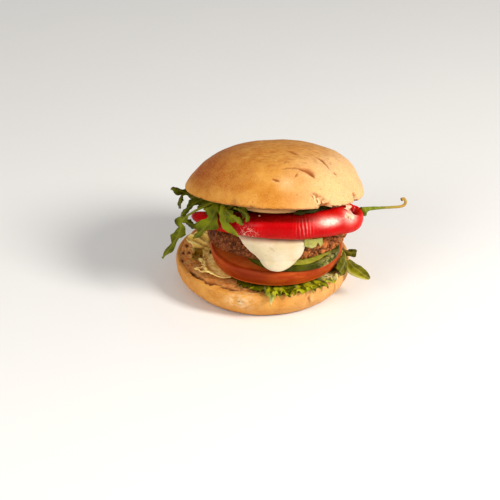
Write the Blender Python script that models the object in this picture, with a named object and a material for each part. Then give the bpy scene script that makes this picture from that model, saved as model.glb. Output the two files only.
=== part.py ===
"""A stacked burger with a whole red chili, built layer by layer from the heel upwards.

Sizes below are in millimetres. The origin is the middle of the heel's flat underside, +Z is up
and the side that shows the chili and the sauce faces -Y. Each layer or leaf is its own object.
"""

import math

import bpy
import numpy as np
from mathutils import Euler, Vector, noise

MM = 0.001
GAP = 0.35                      # air left between pieces that rest on each other

# Driving sizes
BUN_RADIUS = 52.0
HEEL_HEIGHT = 17.0
HEEL_LEAN = 1.6                 # how far its foot sits to +X of its cut face
CROWN_HEIGHT = 29.5
CROWN_CENTRE = (6.1, -4.0, 59.9)
CROWN_TILT = (-15.8, 2.1)       # degrees about X and Y: the crown leans back off the chili
CROWN_LEAN = 5.8                # how far its top sits to +X of its cut face
CROWN_SAG = 0.6                 # how far the cut face bellies down in its middle

LETTUCE_THICK = 0.8
LETTUCE_Z = HEEL_HEIGHT + GAP + 0.5 * LETTUCE_THICK + 0.15
PALE_Z = LETTUCE_Z + LETTUCE_THICK + 0.3

TOMATO_CENTRE = (7.0, -7.5)
TOMATO_RADIUS = 39.2
TOMATO_BASE = PALE_Z + 0.5 * LETTUCE_THICK + GAP
TOMATO_TOP = 29.6

CUCUMBER_CENTRE = (15.9, -20.8)
CUCUMBER_RADII = (27.8, 25.0)
CUCUMBER_BASE = TOMATO_TOP + GAP
CUCUMBER_TOP = 34.2

PATTY_CENTRE = (8.5, -1.0)
PATTY_RADIUS = 42.0
PATTY_REST = TOMATO_TOP + GAP + 0.35    # underside where it lies on the tomato
PATTY_LIFT = CUCUMBER_TOP + GAP + 0.2 - PATTY_REST
PATTY_TOP_BACK = 46.0
PATTY_TOP_FRONT = 47.8

ONION_CENTRE = (4.6, -25.0)
ONION_RADIUS = 21.0
ONION_THICK = 3.0
ONION_DROP = 0.9                # air between the onion and the crown above it

HEAP_CENTRE = (4.0, 6.5)        # the rocket between the patty and the crown
HEAP_RADII = (35.0, 26.5)

LEAF_THICK = 0.7


def smoothstep(x):
    """0 below 0, 1 above 1 and a smooth ramp between."""
    x = np.clip(x, 0.0, 1.0)
    return x * x * (3 - 2 * x)


def smooth_path(points, count):
    """count points along a Catmull-Rom curve through the given ones, of any dimension."""
    p = np.array(points, float)
    p = np.vstack([2 * p[0] - p[1], p, 2 * p[-1] - p[-2]])
    spans = len(p) - 3
    out = []
    for u in np.linspace(0, spans, count):
        i = min(int(u), spans - 1)
        t = u - i
        a, b, c, d = p[i:i + 4]
        out.append(0.5 * (2 * b + (c - a) * t + (2 * a - 5 * b + 4 * c - d) * t * t
                          + (3 * b - a - 3 * c + d) * t ** 3))
    return np.array(out)


def roughness(x, y, z, size, seed=0.0):
    """Smooth noise between about -1 and 1 whose bumps are about size millimetres apart."""
    return noise.noise(Vector((x / size + seed, y / size - seed, z / size + 2 * seed)))


def material(name, colour, rough, sheen=0.0):
    made = bpy.data.materials.new(name)
    made.use_nodes = True
    shader = made.node_tree.nodes["Principled BSDF"]
    shader.inputs["Base Color"].default_value = (*colour, 1.0)
    shader.inputs["Roughness"].default_value = rough
    shader.inputs["Metallic"].default_value = 0.0
    shader.inputs["Coat Weight"].default_value = sheen
    return made


def add_object(name, points, faces, look):
    """A smooth-shaded mesh object from points in millimetres."""
    mesh = bpy.data.meshes.new(name)
    mesh.from_pydata([tuple(p) for p in np.array(points, float) * MM], [], faces)
    mesh.validate()
    mesh.shade_smooth()
    mesh.materials.append(look)
    obj = bpy.data.objects.new(name, mesh)
    bpy.context.scene.collection.objects.link(obj)
    return obj


def lathe_faces(rings, around):
    """Triangles of a closed turned body: a bottom pole, rings of points, then a top pole."""
    faces = []
    top = 1 + rings * around
    for j in range(around):
        k = (j + 1) % around
        faces.append((0, 1 + k, 1 + j))
        for i in range(rings - 1):
            a, b = 1 + i * around + j, 1 + i * around + k
            c, d = b + around, a + around
            faces += [(a, b, c), (a, c, d)]
        last = 1 + (rings - 1) * around
        faces.append((top, last + j, last + k))
    return faces


def lathe(name, profile, around, shape, look):
    """A turned body. profile is (radius, height) from the bottom pole to the top pole, and
    shape(angle, radius, height) says where each point of it goes."""
    points = [shape(0.0, 0.0, profile[0][1])]
    for radius, height in profile[1:-1]:
        for j in range(around):
            points.append(shape(2 * math.pi * j / around, radius, height))
    points.append(shape(0.0, 0.0, profile[-1][1]))
    return add_object(name, points, lathe_faces(len(profile) - 2, around), look)


def sheet(name, grid, thick, look, wrap=False):
    """A thin wavy solid: the middle surface as a grid of points, thickened both ways.
    Both faces are split into triangles alike, because the grid is triangles already. wrap joins
    the last column to the first and fills the middle with a fan."""
    rows, columns = len(grid), len(grid[0])
    points = [p for row in grid for p in row]
    faces = []
    for i in range(rows - 1):
        for j in range(columns if wrap else columns - 1):
            k = (j + 1) % columns
            a, b = i * columns + j, i * columns + k
            c, d = b + columns, a + columns
            faces += [(a, b, c), (a, c, d)]
    if wrap:
        faces += [(len(points), (j + 1) % columns, j) for j in range(columns)]
        points.append(np.mean(grid[0], axis=0))
    obj = add_object(name, points, faces, look)
    thicken(obj, thick)
    return obj


def thicken(obj, thick):
    solid = obj.modifiers.new("Thickness", "SOLIDIFY")
    solid.thickness = thick * MM
    solid.offset = 0.0
    solid.use_rim = True
    return solid


# The buns

def crown_matrix():
    tilt = Euler((math.radians(CROWN_TILT[0]), math.radians(CROWN_TILT[1]), 0.0))
    return np.array(tilt.to_matrix())


def under_crown(x, y):
    """Height of the crown's cut face over a place in the stack."""
    normal = crown_matrix()[:, 2]
    dx, dy = x - CROWN_CENTRE[0], y - CROWN_CENTRE[1]
    flat = CROWN_CENTRE[2] - (normal[0] * dx + normal[1] * dy) / normal[2]
    return flat - CROWN_SAG * max(0.0, 1 - (dx * dx + dy * dy) / BUN_RADIUS ** 2)


def groove(x, y, start, end, depth, width):
    """Depth of a crease in the crust that runs from start to end, fading at both ends."""
    ax, ay = end[0] - start[0], end[1] - start[1]
    length = math.hypot(ax, ay)
    along = ((x - start[0]) * ax + (y - start[1]) * ay) / length ** 2
    off = ((x - start[0]) * ay - (y - start[1]) * ax) / length
    fade = smoothstep((along + 0.2) / 0.35) * smoothstep((1.2 - along) / 0.35)
    return depth * fade * math.exp(-(off / width) ** 2)


# The crown's outline from its cut edge up, as shares of the bun's radius and its own height
CROWN_DOME = ((0.979, 0.010), (0.996, 0.041), (0.987, 0.115), (0.960, 0.220), (0.906, 0.359),
              (0.842, 0.515), (0.738, 0.678), (0.592, 0.820), (0.394, 0.929), (0.187, 0.990))
# Creases in the crown's crust, seen from above: start, end, depth and half width
CROWN_CREASES = (
    ((9.0, -30.0), (28.0, -33.0), 1.0, 1.8),
    ((25.0, -29.0), (33.0, -35.0), 1.6, 2.2),
    ((31.0, -19.0), (41.0, -28.0), 1.0, 1.5),
    ((11.0, -12.0), (21.0, -18.0), 0.8, 1.8),
    ((-2.0, -38.0), (7.0, -40.0), 0.8, 1.6),
)
# Torn notches in the crown's lower edge: angle in degrees, depth and half width
CROWN_TEARS = ((-62.0, 3.0, 3.0), (-32.0, 2.6, 3.4))


def crown_shape(angle, radius, height):
    """The crown leans a little to +X as it rises, and its outline isn't a true circle."""
    rise = height / CROWN_HEIGHT
    swell = 1 + 0.004 * math.cos(2 * angle + 0.6) + 0.004 * math.sin(3 * angle)
    x = radius * swell * math.cos(angle) + CROWN_LEAN * max(0.0, rise) ** 1.5
    y = radius * swell * math.sin(angle)
    z = height
    if height == 0.0:
        z -= CROWN_SAG * max(0.0, 1 - (radius / BUN_RADIUS) ** 2)
    lumps = 0.55 * roughness(x, y, z, 19.0, 3.1) + 0.25 * roughness(x, y, z, 9.0, 7.7)
    z += lumps * (0.2 + 0.8 * smoothstep(rise * 4))
    for start, end, depth, width in CROWN_CREASES:
        z -= groove(x, y, start, end, depth, width) * smoothstep(rise * 5)
    for degrees, depth, width in CROWN_TEARS:
        turn = math.remainder(angle - math.radians(degrees), 2 * math.pi) * BUN_RADIUS
        bite = depth * math.exp(-(turn / width) ** 2) * smoothstep(1.4 - height / 4.5)
        if radius > 0.9 * BUN_RADIUS:
            z += 0.8 * bite
            x -= 0.7 * bite * math.cos(angle)
            y -= 0.7 * bite * math.sin(angle)
    return x, y, z


def make_crown():
    crust = material("crown_crust", (0.66, 0.31, 0.09), 0.55)
    dome = smooth_path(CROWN_DOME, 16) * (BUN_RADIUS, CROWN_HEIGHT)
    profile = [(0.0, 0.0), (0.46 * BUN_RADIUS, 0.0), (0.95 * BUN_RADIUS, 0.0)]
    profile += [tuple(p) for p in dome] + [(0.0, CROWN_HEIGHT)]
    crown = lathe("bun_top", profile, 64, crown_shape, crust)
    crown.location = [c * MM for c in CROWN_CENTRE]
    crown.rotation_euler = [math.radians(a) for a in CROWN_TILT] + [0.0]
    return crown


# The heel's outline from its foot up, as shares of the bun's radius and its own height
HEEL_SIDE = ((0.819, 0.0), (0.858, 0.047), (0.900, 0.176), (0.950, 0.353), (0.981, 0.541),
             (0.988, 0.729), (0.983, 0.906), (0.975, 0.976))
# Vertical pinches in the heel's side: angle in degrees, depth and half width
HEEL_PINCHES = ((-60.0, 0.9, 2.2), (-40.0, 1.3, 2.6), (-108.0, 0.8, 3.0), (-20.0, 0.7, 2.4),
                (60.0, 0.8, 3.0), (150.0, 0.7, 2.6))


def heel_shape(angle, radius, height):
    swell = 1 + 0.003 * math.cos(2 * angle - 0.4) + 0.003 * math.sin(3 * angle + 1.0)
    radius *= swell
    side = smoothstep((radius - 46.0) / 4.0)
    for degrees, depth, width in HEEL_PINCHES:
        turn = math.remainder(angle - math.radians(degrees), 2 * math.pi) * BUN_RADIUS
        radius -= depth * side * math.exp(-(turn / width) ** 2)
    x, y = radius * math.cos(angle), radius * math.sin(angle)
    z = height
    if 0.0 < height < HEEL_HEIGHT - 2.0:
        radius += 0.4 * roughness(x, y, z, 12.0, 5.0)
        x, y = radius * math.cos(angle), radius * math.sin(angle)
    if height >= HEEL_HEIGHT - 2.0:
        z += 0.12 * roughness(x, y, 0.0, 9.0, 1.3) - 0.15
    return x + HEEL_LEAN * (0.5 - height / HEEL_HEIGHT), y, z


def make_heel():
    crust = material("heel_crust", (0.70, 0.36, 0.11), 0.6)
    side = smooth_path(HEEL_SIDE, 11) * (BUN_RADIUS, HEEL_HEIGHT)
    profile = [(0.0, 0.0)] + [tuple(p) for p in side]
    profile += [(share * BUN_RADIUS, HEEL_HEIGHT) for share in (0.96, 0.77, 0.46, 0.0)]
    return lathe("bun_bottom", profile, 64, heel_shape, crust)


# The layers

def outside_tomato(x, y):
    """How far a place lies outside the tomato slice's widest outline."""
    return math.hypot(x - TOMATO_CENTRE[0], y - TOMATO_CENTRE[1]) - TOMATO_RADIUS - 0.6


# How far the frilled leaf reaches from the middle of the heel: degrees and millimetres. It is
# short at the left, where the pale leaf and the bare toasted bread show instead.
FRILL_REACH = ((-135, 32.0), (-120, 35.5), (-110, 41.0), (-98, 45.0), (-90, 45.5), (-86, 49.5),
               (-62, 50.5), (-50, 51.0), (-38, 51.5), (-27, 50.0), (-20, 46.5), (-5, 44.0),
               (30, 45.0), (105, 43.0), (130, 34.0), (150, 30.0), (225, 30.0))
# Pointed teeth of its edge: degrees, extra length and half width in degrees
FRILL_TEETH = ((-87, 9.0, 2.8), (-74, 2.6, 2.2), (-65, 2.4, 2.4), (-53, 1.6, 2.6),
               (-40, 3.0, 2.8), (-28, 1.6, 3.0))


def frill_reach(degrees):
    reach = float(np.interp(degrees, *zip(*FRILL_REACH)))
    for middle, extra, width in FRILL_TEETH:
        reach += extra * math.exp(-((degrees - middle) / width) ** 2)
    return reach + 0.5 * math.sin(math.radians(29 * degrees))


def frilled_lettuce_point(degrees, share):
    """Lies flat under the tomato, ruffles where it's free and hangs over the heel's edge."""
    along = share * frill_reach(degrees)
    angle = math.radians(degrees)
    over = max(0.0, along - 50.0)
    radius = along - over + 5.0 * (1 - math.exp(-over / 3.6))
    x, y = radius * math.cos(angle), radius * math.sin(angle)
    free = max(0.0, outside_tomato(x, y))
    height = min(3.6, 0.8 * free) * (1 - 0.6 * smoothstep(over / 3.0))
    coarse = 0.5 + 0.5 * math.sin(math.radians(17 * degrees + 40))
    fine = 0.5 + 0.5 * math.sin(math.radians(41 * degrees + 10))
    z = LETTUCE_Z + height * (0.55 * coarse + 0.45 * fine) * smoothstep(free / 1.5)
    lift = 0.4 * math.exp(-((degrees + 88) / 4.0) ** 2)
    return x, y, z + lift - 1.1 * (over - (radius - along + over))


def make_frilled_lettuce():
    green = material("lettuce_green", (0.22, 0.34, 0.03), 0.4)
    front = np.linspace(-135, -5, 58)
    back = np.linspace(-5, 225, 30)[1:-1]
    degrees = list(front) + list(back)
    shares = (0.3, 0.72, 0.84, 0.90, 0.95, 1.0)
    grid = [[frilled_lettuce_point(d, share) for d in degrees] for share in shares]
    return sheet("lettuce_frilled", grid, LETTUCE_THICK, green, wrap=True)


# The two pieces of pale lettuce at the left, as degrees and reach about the tomato's middle
PALE_BACK_REACH = ((146, 46.0), (155, 53.0), (163, 56.5), (168, 51.0), (176, 49.5))
PALE_FRONT_REACH = ((178, 49.5), (187, 49.5), (192, 47.6), (197, 45.6), (201, 50.6), (205, 47.4),
                    (212, 43.2), (219, 39.6), (222, 35.0))


def pale_leaf(name, reach, inner, rows, columns, rise, lip, seed, look):
    """A crumpled sheet that fans out from under the tomato. rise is how far its rim stands up
    at the back end, lip how far the rim curls up elsewhere."""
    first, last = reach[0][0], reach[-1][0]
    grid = []
    for i in range(rows):
        out = i / (rows - 1)
        row = []
        for j in range(columns):
            degrees = first + (last - first) * j / (columns - 1)
            radius = inner + out * (float(np.interp(degrees, *zip(*reach))) - inner)
            x = TOMATO_CENTRE[0] + radius * math.cos(math.radians(degrees))
            y = TOMATO_CENTRE[1] + radius * math.sin(math.radians(degrees))
            free = smoothstep(outside_tomato(x, y) / 5.0)
            crumple = max(0.0, 0.5 + 0.9 * roughness(x, y, 0.0, 6.0, seed))
            curl = lip * smoothstep((out - 0.7) / 0.3)
            stand = rise * out * smoothstep((172 - degrees) / 14)
            row.append((x, y, PALE_Z + free * (1.5 * crumple + curl + stand)))
        grid.append(row)
    return sheet(name, grid, LETTUCE_THICK, look)


def make_pale_lettuce():
    pale = material("lettuce_pale", (0.55, 0.50, 0.22), 0.4)
    pale_leaf("lettuce_pale_back", PALE_BACK_REACH, 34.0, 8, 9, 3.2, 0.0, 2.4, pale)
    pale_leaf("lettuce_pale_front", PALE_FRONT_REACH, 31.0, 8, 15, 0.0, 0.9, 6.1, pale)


def make_tomato():
    red = material("tomato_flesh", (0.56, 0.10, 0.03), 0.3, 0.2)
    cx, cy = TOMATO_CENTRE
    wide, low, high = TOMATO_RADIUS, TOMATO_BASE, TOMATO_TOP

    def shape(angle, radius, height):
        rise = (height - low) / (high - low)
        swell = 1 + 0.008 * math.cos(3 * angle + 0.5) + 0.005 * math.cos(5 * angle)
        x = cx + radius * swell * math.cos(angle) + 0.4 * (1 - rise)
        y = cy + radius * swell * math.sin(angle) - 0.8 * (1 - rise)
        return x, y, height

    side = [(wide - 4.4, low), (wide - 2.9, low + 0.5), (wide - 1.6, low + 2.6),
            (wide - 0.5, low + 5.6), (wide - 0.3, high - 1.6), (wide - 0.9, high - 0.3),
            (wide - 2.0, high)]
    profile = [(0.0, low)] + side + [(0.0, high)]
    return lathe("tomato_slice", profile, 48, shape, red)


def make_cucumber():
    skin = material("cucumber_skin", (0.05, 0.13, 0.02), 0.3, 0.3)
    cx, cy = CUCUMBER_CENTRE
    rx, ry = CUCUMBER_RADII
    low, high = CUCUMBER_BASE, CUCUMBER_TOP

    def shape(angle, share, height):
        lobe = 1 + 0.006 * math.cos(6 * angle)
        return (cx + rx * share * lobe * math.cos(angle), cy + ry * share * lobe * math.sin(angle),
                height)

    profile = [(0.0, low), (0.975, low), (0.998, low + 0.7), (1.0, high - 1.2),
               (0.992, high - 0.3), (0.965, high), (0.0, high)]
    return lathe("cucumber_slice", profile, 44, shape, skin)


def cucumber_under(x, y):
    """1 where the patty lies on the cucumber slice, 0 well away from it."""
    share = math.hypot((x - CUCUMBER_CENTRE[0]) / CUCUMBER_RADII[0],
                       (y - CUCUMBER_CENTRE[1]) / CUCUMBER_RADII[1])
    return 1 - smoothstep((share - 1.25) / 0.60)


def patty_top(x, y):
    return PATTY_TOP_BACK + (PATTY_TOP_FRONT - PATTY_TOP_BACK) * smoothstep((22 - y) / 44)


def patty_crags(x, y, z):
    """Minced grain: rounded nuggets with pits between them, in millimetres."""
    nearest = noise.voronoi(Vector((x / 6.5, y / 6.5, z / 5.0)))[0]
    return 0.9 * (0.55 - nearest[0]) + 0.5 * roughness(x, y, z, 3.7, 4.4)


def make_patty():
    meat = material("patty_meat", (0.19, 0.075, 0.03), 0.6)
    cx, cy = PATTY_CENTRE
    wide = PATTY_RADIUS
    edge = [(wide - 5.5, 0.0), (wide - 2.6, 0.07), (wide - 0.8, 0.22), (wide - 0.1, 0.42),
            (wide - 0.2, 0.62), (wide - 1.4, 0.80), (wide - 3.4, 0.93), (wide - 6.0, 1.0)]

    def shape(angle, radius, share):
        swell = 1 + 0.006 * math.cos(3 * angle + 1.1) + 0.005 * math.sin(5 * angle)
        x, y = cx + radius * swell * math.cos(angle), cy + radius * swell * math.sin(angle)
        base = PATTY_REST + PATTY_LIFT * cucumber_under(x, y)
        z = base + share * (patty_top(x, y) - base)
        crag = patty_crags(x, y, z) * smoothstep((radius - 30) / 8)
        x += 0.75 * crag * math.cos(angle)
        y += 0.75 * crag * math.sin(angle)
        if share > 0.5:
            z += min(0.0, 0.5 * crag)
        elif share < 0.25:
            z += max(0.0, 0.5 * crag)
        return x, y, z

    inner = [(0.0, 0.0), (0.33 * wide, 0.0), (0.67 * wide, 0.0)]
    profile = inner + edge + [(0.62 * wide, 1.0), (0.0, 1.0)]
    return lathe("patty", profile, 84, shape, meat)


# Sauce tongue: distance from the patty's axis and height of its back, then middle and half width
# across the front, and thickness, from under the chili down to the drip
SAUCE_RUN = (
    (27.0, 48.5, 4.0, 14.0, 0.8),
    (34.0, 48.5, 4.0, 18.6, 0.9),
    (40.0, 48.4, 4.2, 19.6, 1.1),
    (43.1, 46.9, 5.3, 18.6, 2.2),
    (43.4, 44.6, 5.9, 17.2, 2.8),
    (43.5, 41.9, 6.9, 15.5, 3.1),
    (43.6, 39.3, 8.0, 13.2, 3.3),
    (44.0, 37.0, 8.2, 11.0, 3.4),
    (45.6, 35.0, 7.7, 8.8, 3.2),
    (46.5, 33.3, 7.4, 6.2, 2.6),
    (46.6, 32.3, 7.7, 2.8, 1.8),
)


def make_sauce():
    cream = material("sauce", (0.80, 0.68, 0.42), 0.3, 0.2)
    run = smooth_path(SAUCE_RUN, 16)
    columns = 12
    slope = np.gradient(run[:, :2], axis=0)
    slope /= np.linalg.norm(slope, axis=1)[:, None]
    back, front = [], []
    for (reach, height, middle, half, thick), (d_out, d_up) in zip(run, slope):
        for j in range(columns):
            across = -1 + 2 * j / (columns - 1)
            x = middle + half * across
            bulge = thick * (0.22 + 0.78 * math.sqrt(max(0.0, 1 - across * across)))
            for out, push in ((back, 0.0), (front, bulge)):
                r = reach - d_up * push
                z = height + d_out * push
                dx = min(x - PATTY_CENTRE[0], r)
                out.append((x, PATTY_CENTRE[1] - math.sqrt(r * r - dx * dx), z))
    rows, count = len(run), len(back)
    faces = []
    for i in range(rows - 1):
        for j in range(columns - 1):
            a, b = i * columns + j, i * columns + j + 1
            c, d = b + columns, a + columns
            faces += [(a, b, c), (a, c, d)]
            a, b, c, d = (q + count for q in (a, b, c, d))
            faces += [(a, c, b), (a, d, c)]
    rim = [j for j in range(columns)]
    rim += [i * columns + columns - 1 for i in range(1, rows)]
    rim += [(rows - 1) * columns + j for j in range(columns - 2, -1, -1)]
    rim += [i * columns for i in range(rows - 2, 0, -1)]
    for a, b in zip(rim, rim[1:] + rim[:1]):
        faces += [(b, a, a + count), (b, a + count, b + count)]
    return add_object("sauce", back + front, faces, cream)


# The chili: centre line and radius from its tip at the left to its shoulder at the right
CHILI_LINE = (
    (-41.0, -19.5, 52.4, 1.4),
    (-38.8, -21.0, 52.6, 3.0),
    (-34.0, -24.5, 53.2, 4.2),
    (-27.0, -29.0, 54.3, 5.2),
    (-13.0, -36.5, 56.1, 6.6),
    (2.0, -40.5, 57.3, 7.4),
    (18.0, -41.6, 57.5, 7.6),
    (33.0, -38.2, 57.2, 7.7),
    (44.5, -31.7, 56.3, 8.2),
    (50.2, -27.7, 55.9, 7.9),
    (53.4, -25.4, 56.2, 5.6),
)
CHILI_HOLE = (43.4, -36.6, 62.4)        # where the roasted skin has torn open
CHILI_BLISTER = (-9.5, -42.5, 58.0)


def make_tube(name, line, stations, around, look, push=None):
    """A round body along a line of (x, y, z, radius), closed by a pole at each end."""
    path = smooth_path(line, stations)
    centre, radius = path[:, :3], path[:, 3]
    ahead = np.gradient(centre, axis=0)
    ahead /= np.linalg.norm(ahead, axis=1)[:, None]
    points = [centre[0] - ahead[0] * 0.5 * radius[0]]
    for c, a, r in zip(centre, ahead, radius):
        side = np.cross(a, (0.0, 0.0, 1.0))
        side /= np.linalg.norm(side)
        up = np.cross(side, a)
        for j in range(around):
            turn = 2 * math.pi * j / around
            p = c + r * (math.cos(turn) * side + math.sin(turn) * up)
            if push:
                p = p + push(p) * (c - p) / r
            points.append(p)
    points.append(centre[-1] + ahead[-1] * 0.35 * radius[-1])
    faces = [tuple(reversed(f)) for f in lathe_faces(stations, around)]
    return add_object(name, points, faces, look)


def chili_dents(p):
    """How far the chili's skin sinks at a point: the torn hole, the blister and soft waves."""
    hole = 2.6 * math.exp(-(np.linalg.norm(p - CHILI_HOLE) / 3.4) ** 2)
    blister = 0.6 * math.exp(-(np.linalg.norm(p - CHILI_BLISTER) / 4.5) ** 2)
    return hole + blister + 0.35 * roughness(*p, 11.0, 8.8)


def make_chili():
    red = material("chili_skin", (0.55, 0.008, 0.008), 0.2, 0.5)
    return make_tube("chili", CHILI_LINE, 30, 14, red, chili_dents)


STEM_LINE = (
    (56.5, -23.9, 57.4, 2.6),
    (57.7, -22.9, 57.8, 2.0),
    (60.0, -21.4, 57.9, 1.25),
    (63.5, -19.2, 57.1, 1.0),
    (68.0, -16.5, 56.0, 0.8),
    (73.5, -13.8, 54.9, 0.75),
    (78.4, -11.7, 54.2, 0.8),
    (81.2, -10.6, 54.6, 0.85),
    (82.1, -10.1, 56.6, 0.85),
    (81.0, -10.0, 58.5, 0.8),
    (79.6, -10.0, 57.9, 0.8),
)


def make_stem():
    green = material("chili_stem", (0.16, 0.22, 0.03), 0.5)
    return make_tube("chili_stem", STEM_LINE, 22, 6, green)


def make_onion():
    """A round slice that lies under the crown, tilted with it, on top of the chili."""
    pale = material("onion", (0.62, 0.42, 0.22), 0.4, 0.2)
    cx, cy = ONION_CENTRE
    wide, thick = ONION_RADIUS, ONION_THICK
    normal = crown_matrix()[:, 2]
    rest = under_crown(cx, cy) - thick - ONION_DROP

    def shape(angle, radius, height):
        x, y = cx + radius * math.cos(angle), cy + 0.97 * radius * math.sin(angle)
        flat = -(normal[0] * (x - cx) + normal[1] * (y - cy)) / normal[2]
        return x, y, rest + flat + height

    profile = [(0.0, 0.0), (wide - 1.4, 0.0), (wide - 0.3, 0.2 * thick), (wide, 0.5 * thick),
               (wide - 0.3, 0.8 * thick), (wide - 1.4, thick), (0.0, thick)]
    return lathe("onion_slice", profile, 40, shape, pale)


def make_rocket_heap():
    """The salad that fills the wedge between the patty and the crown, behind the chili."""
    green = material("rocket_heap", (0.09, 0.14, 0.02), 0.5)
    cx, cy = HEAP_CENTRE

    def shape(angle, share, height):
        round_off = (abs(math.cos(angle)) ** 2.4 + abs(math.sin(angle)) ** 2.4) ** (-1 / 2.4)
        ragged = 1 + 0.05 * math.sin(9 * angle + 0.4) + 0.04 * math.sin(17 * angle + 2.0)
        reach = share * round_off * ragged
        x = cx + HEAP_RADII[0] * reach * math.cos(angle)
        y = cy + HEAP_RADII[1] * reach * math.sin(angle)
        low = patty_top(x, y) + GAP + 0.4
        high = under_crown(x, y) - GAP - 0.5
        apart = math.hypot(x - ONION_CENTRE[0], (y - ONION_CENTRE[1]) / 0.97) - ONION_RADIUS
        high -= (ONION_THICK + ONION_DROP + 0.4) * (1 - smoothstep((apart - 1.2) / 4.0))
        return x, y, low + height * (high - low)

    profile = [(0.0, 0.0), (0.86, 0.0), (0.97, 0.2), (1.0, 0.5), (0.97, 0.8),
               (0.90, 1.0), (0.66, 1.0), (0.36, 1.0), (0.0, 1.0)]
    return lathe("rocket_heap", profile, 40, shape, green)


# The loose leaves

def rocket_width(half, stalk, lobes, phase):
    """Half width along a rocket leaf: a thin stalk, then a blade cut into rounded lobes."""
    def width(t):
        blade = max(0.0, (t - stalk) / (1 - stalk))
        outline = half * (math.sin(math.pi * min(1.0, 0.12 + 0.88 * blade)) ** 0.7)
        cut = 1 - 0.42 * (0.5 - 0.5 * math.cos(2 * math.pi * (lobes * blade + phase)))
        tip = smoothstep((1.03 - blade) / 0.12)
        return max(0.75, outline * cut * tip * smoothstep(blade / 0.14 + 0.05))
    return width


def plain_width(half):
    """Half width of a leaf or lobe with an uncut edge and a round tip."""
    return lambda t: max(0.7, half * (math.sin(math.pi * (0.10 + 0.84 * t)) ** 0.75))


def make_leaf(name, spine, facing, left, right, look, stations=13, cup=0.22, ripple=0.2):
    """A leaf whose midrib follows spine. facing is the way its upper side looks, and left and
    right give the half widths either side of the midrib."""
    centre = smooth_path(spine, stations)
    ahead = np.gradient(centre, axis=0)
    ahead /= np.linalg.norm(ahead, axis=1)[:, None]
    grid = []
    for i, (c, a) in enumerate(zip(centre, ahead)):
        t = i / (stations - 1)
        side = np.cross(np.array(facing, float), a)
        side /= np.linalg.norm(side)
        normal = np.cross(a, side)
        row = []
        for across in (-1.0, 0.0, 1.0):
            half = left(t) if across < 0 else right(t)
            bend = -cup * half * across * across
            wave = ripple * across * math.sin(9.0 * t + 2.0 * across)
            row.append(c + side * half * across + normal * (bend + wave))
        grid.append(row)
    return sheet(name, grid, LEAF_THICK, look)


# Each rocket leaf: midrib, way it faces, half width, share that is bare stalk, lobes
ROCKET_LEAVES = (
    # reaches out to the left from under the crown
    (((-35.2, 2.0, 52.6), (-40.0, 1.0, 54.6), (-44.8, 0.0, 57.0), (-49.4, -1.5, 59.3),
      (-53.8, -3.0, 61.6)), (0.1, -0.6, 0.8), 3.7, 0.12, 1.6),
    # short lobe that hangs from it
    (((-47.0, -4.5, 58.2), (-48.2, -6.0, 56.6), (-48.5, -7.5, 54.4), (-49.0, -9.0, 51.6)),
     (-0.2, -1.0, 0.1), 1.7, 0.05, 0.8),
    # long stalk that leans out to the left, and the blade that hangs off it
    (((-21.5, -26.0, 64.8), (-29.0, -31.0, 66.6), (-36.0, -33.6, 64.6), (-43.0, -34.6, 60.6),
      (-47.2, -34.8, 56.4), (-47.6, -34.8, 52.0), (-49.6, -34.6, 46.6), (-53.4, -34.0, 40.0),
      (-58.4, -33.0, 31.8)), (-0.1, -1.0, 0.2), 3.8, 0.36, 2.6),
    # dark blade behind that stalk
    (((-30.0, -19.5, 63.4), (-36.4, -22.0, 63.6), (-40.6, -24.4, 62.2), (-44.6, -27.0, 60.0),
      (-47.2, -29.0, 57.4)), (-0.3, -1.0, 0.3), 3.0, 0.06, 1.4),
    # low blade that passes under the chili's tip
    (((-45.6, -31.6, 55.2), (-42.2, -30.6, 53.2), (-38.2, -30.2, 51.2), (-33.6, -29.4, 49.0)),
     (0.0, -1.0, 0.2), 2.4, 0.0, 1.2),
    # broad leaf over the chili's thin end
    (((-22.6, -30.0, 66.4), (-26.0, -37.0, 67.4), (-28.2, -39.6, 64.2), (-30.8, -40.4, 59.6),
      (-34.9, -40.6, 54.6), (-40.2, -39.6, 48.4)), (0.15, -1.0, 0.25), 5.0, 0.10, 2.2),
    # light leaf that runs down to the sauce
    (((-19.0, -29.0, 65.6), (-23.4, -38.0, 68.2), (-23.2, -42.4, 65.8), (-21.4, -44.6, 62.0),
      (-18.4, -46.4, 58.0), (-14.8, -47.4, 54.0)), (-0.25, -1.0, 0.3), 2.9, 0.10, 0.9),
    # dark leaf beside it, over the chili
    (((-17.6, -36.0, 67.6), (-21.0, -43.4, 69.0), (-18.6, -46.6, 67.0), (-15.2, -48.2, 64.6),
      (-12.0, -49.0, 62.2)), (0.2, -1.0, 0.5), 3.2, 0.12, 1.3),
    # small leaf next to the onion
    (((-17.0, -40.5, 68.4), (-12.4, -45.8, 69.2), (-9.9, -48.4, 67.8), (-10.2, -49.8, 64.4)),
     (0.1, -1.0, 0.3), 3.2, 0.10, 1.2),
)


def make_rocket_leaves():
    green = material("rocket_leaf", (0.13, 0.24, 0.03), 0.4)
    for number, (spine, facing, half, stalk, lobes) in enumerate(ROCKET_LEAVES, 1):
        make_leaf(f"rocket_leaf_{number}", spine, facing, rocket_width(half, stalk, lobes, 0.1),
                  rocket_width(half, stalk, lobes, 0.45), green)


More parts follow.
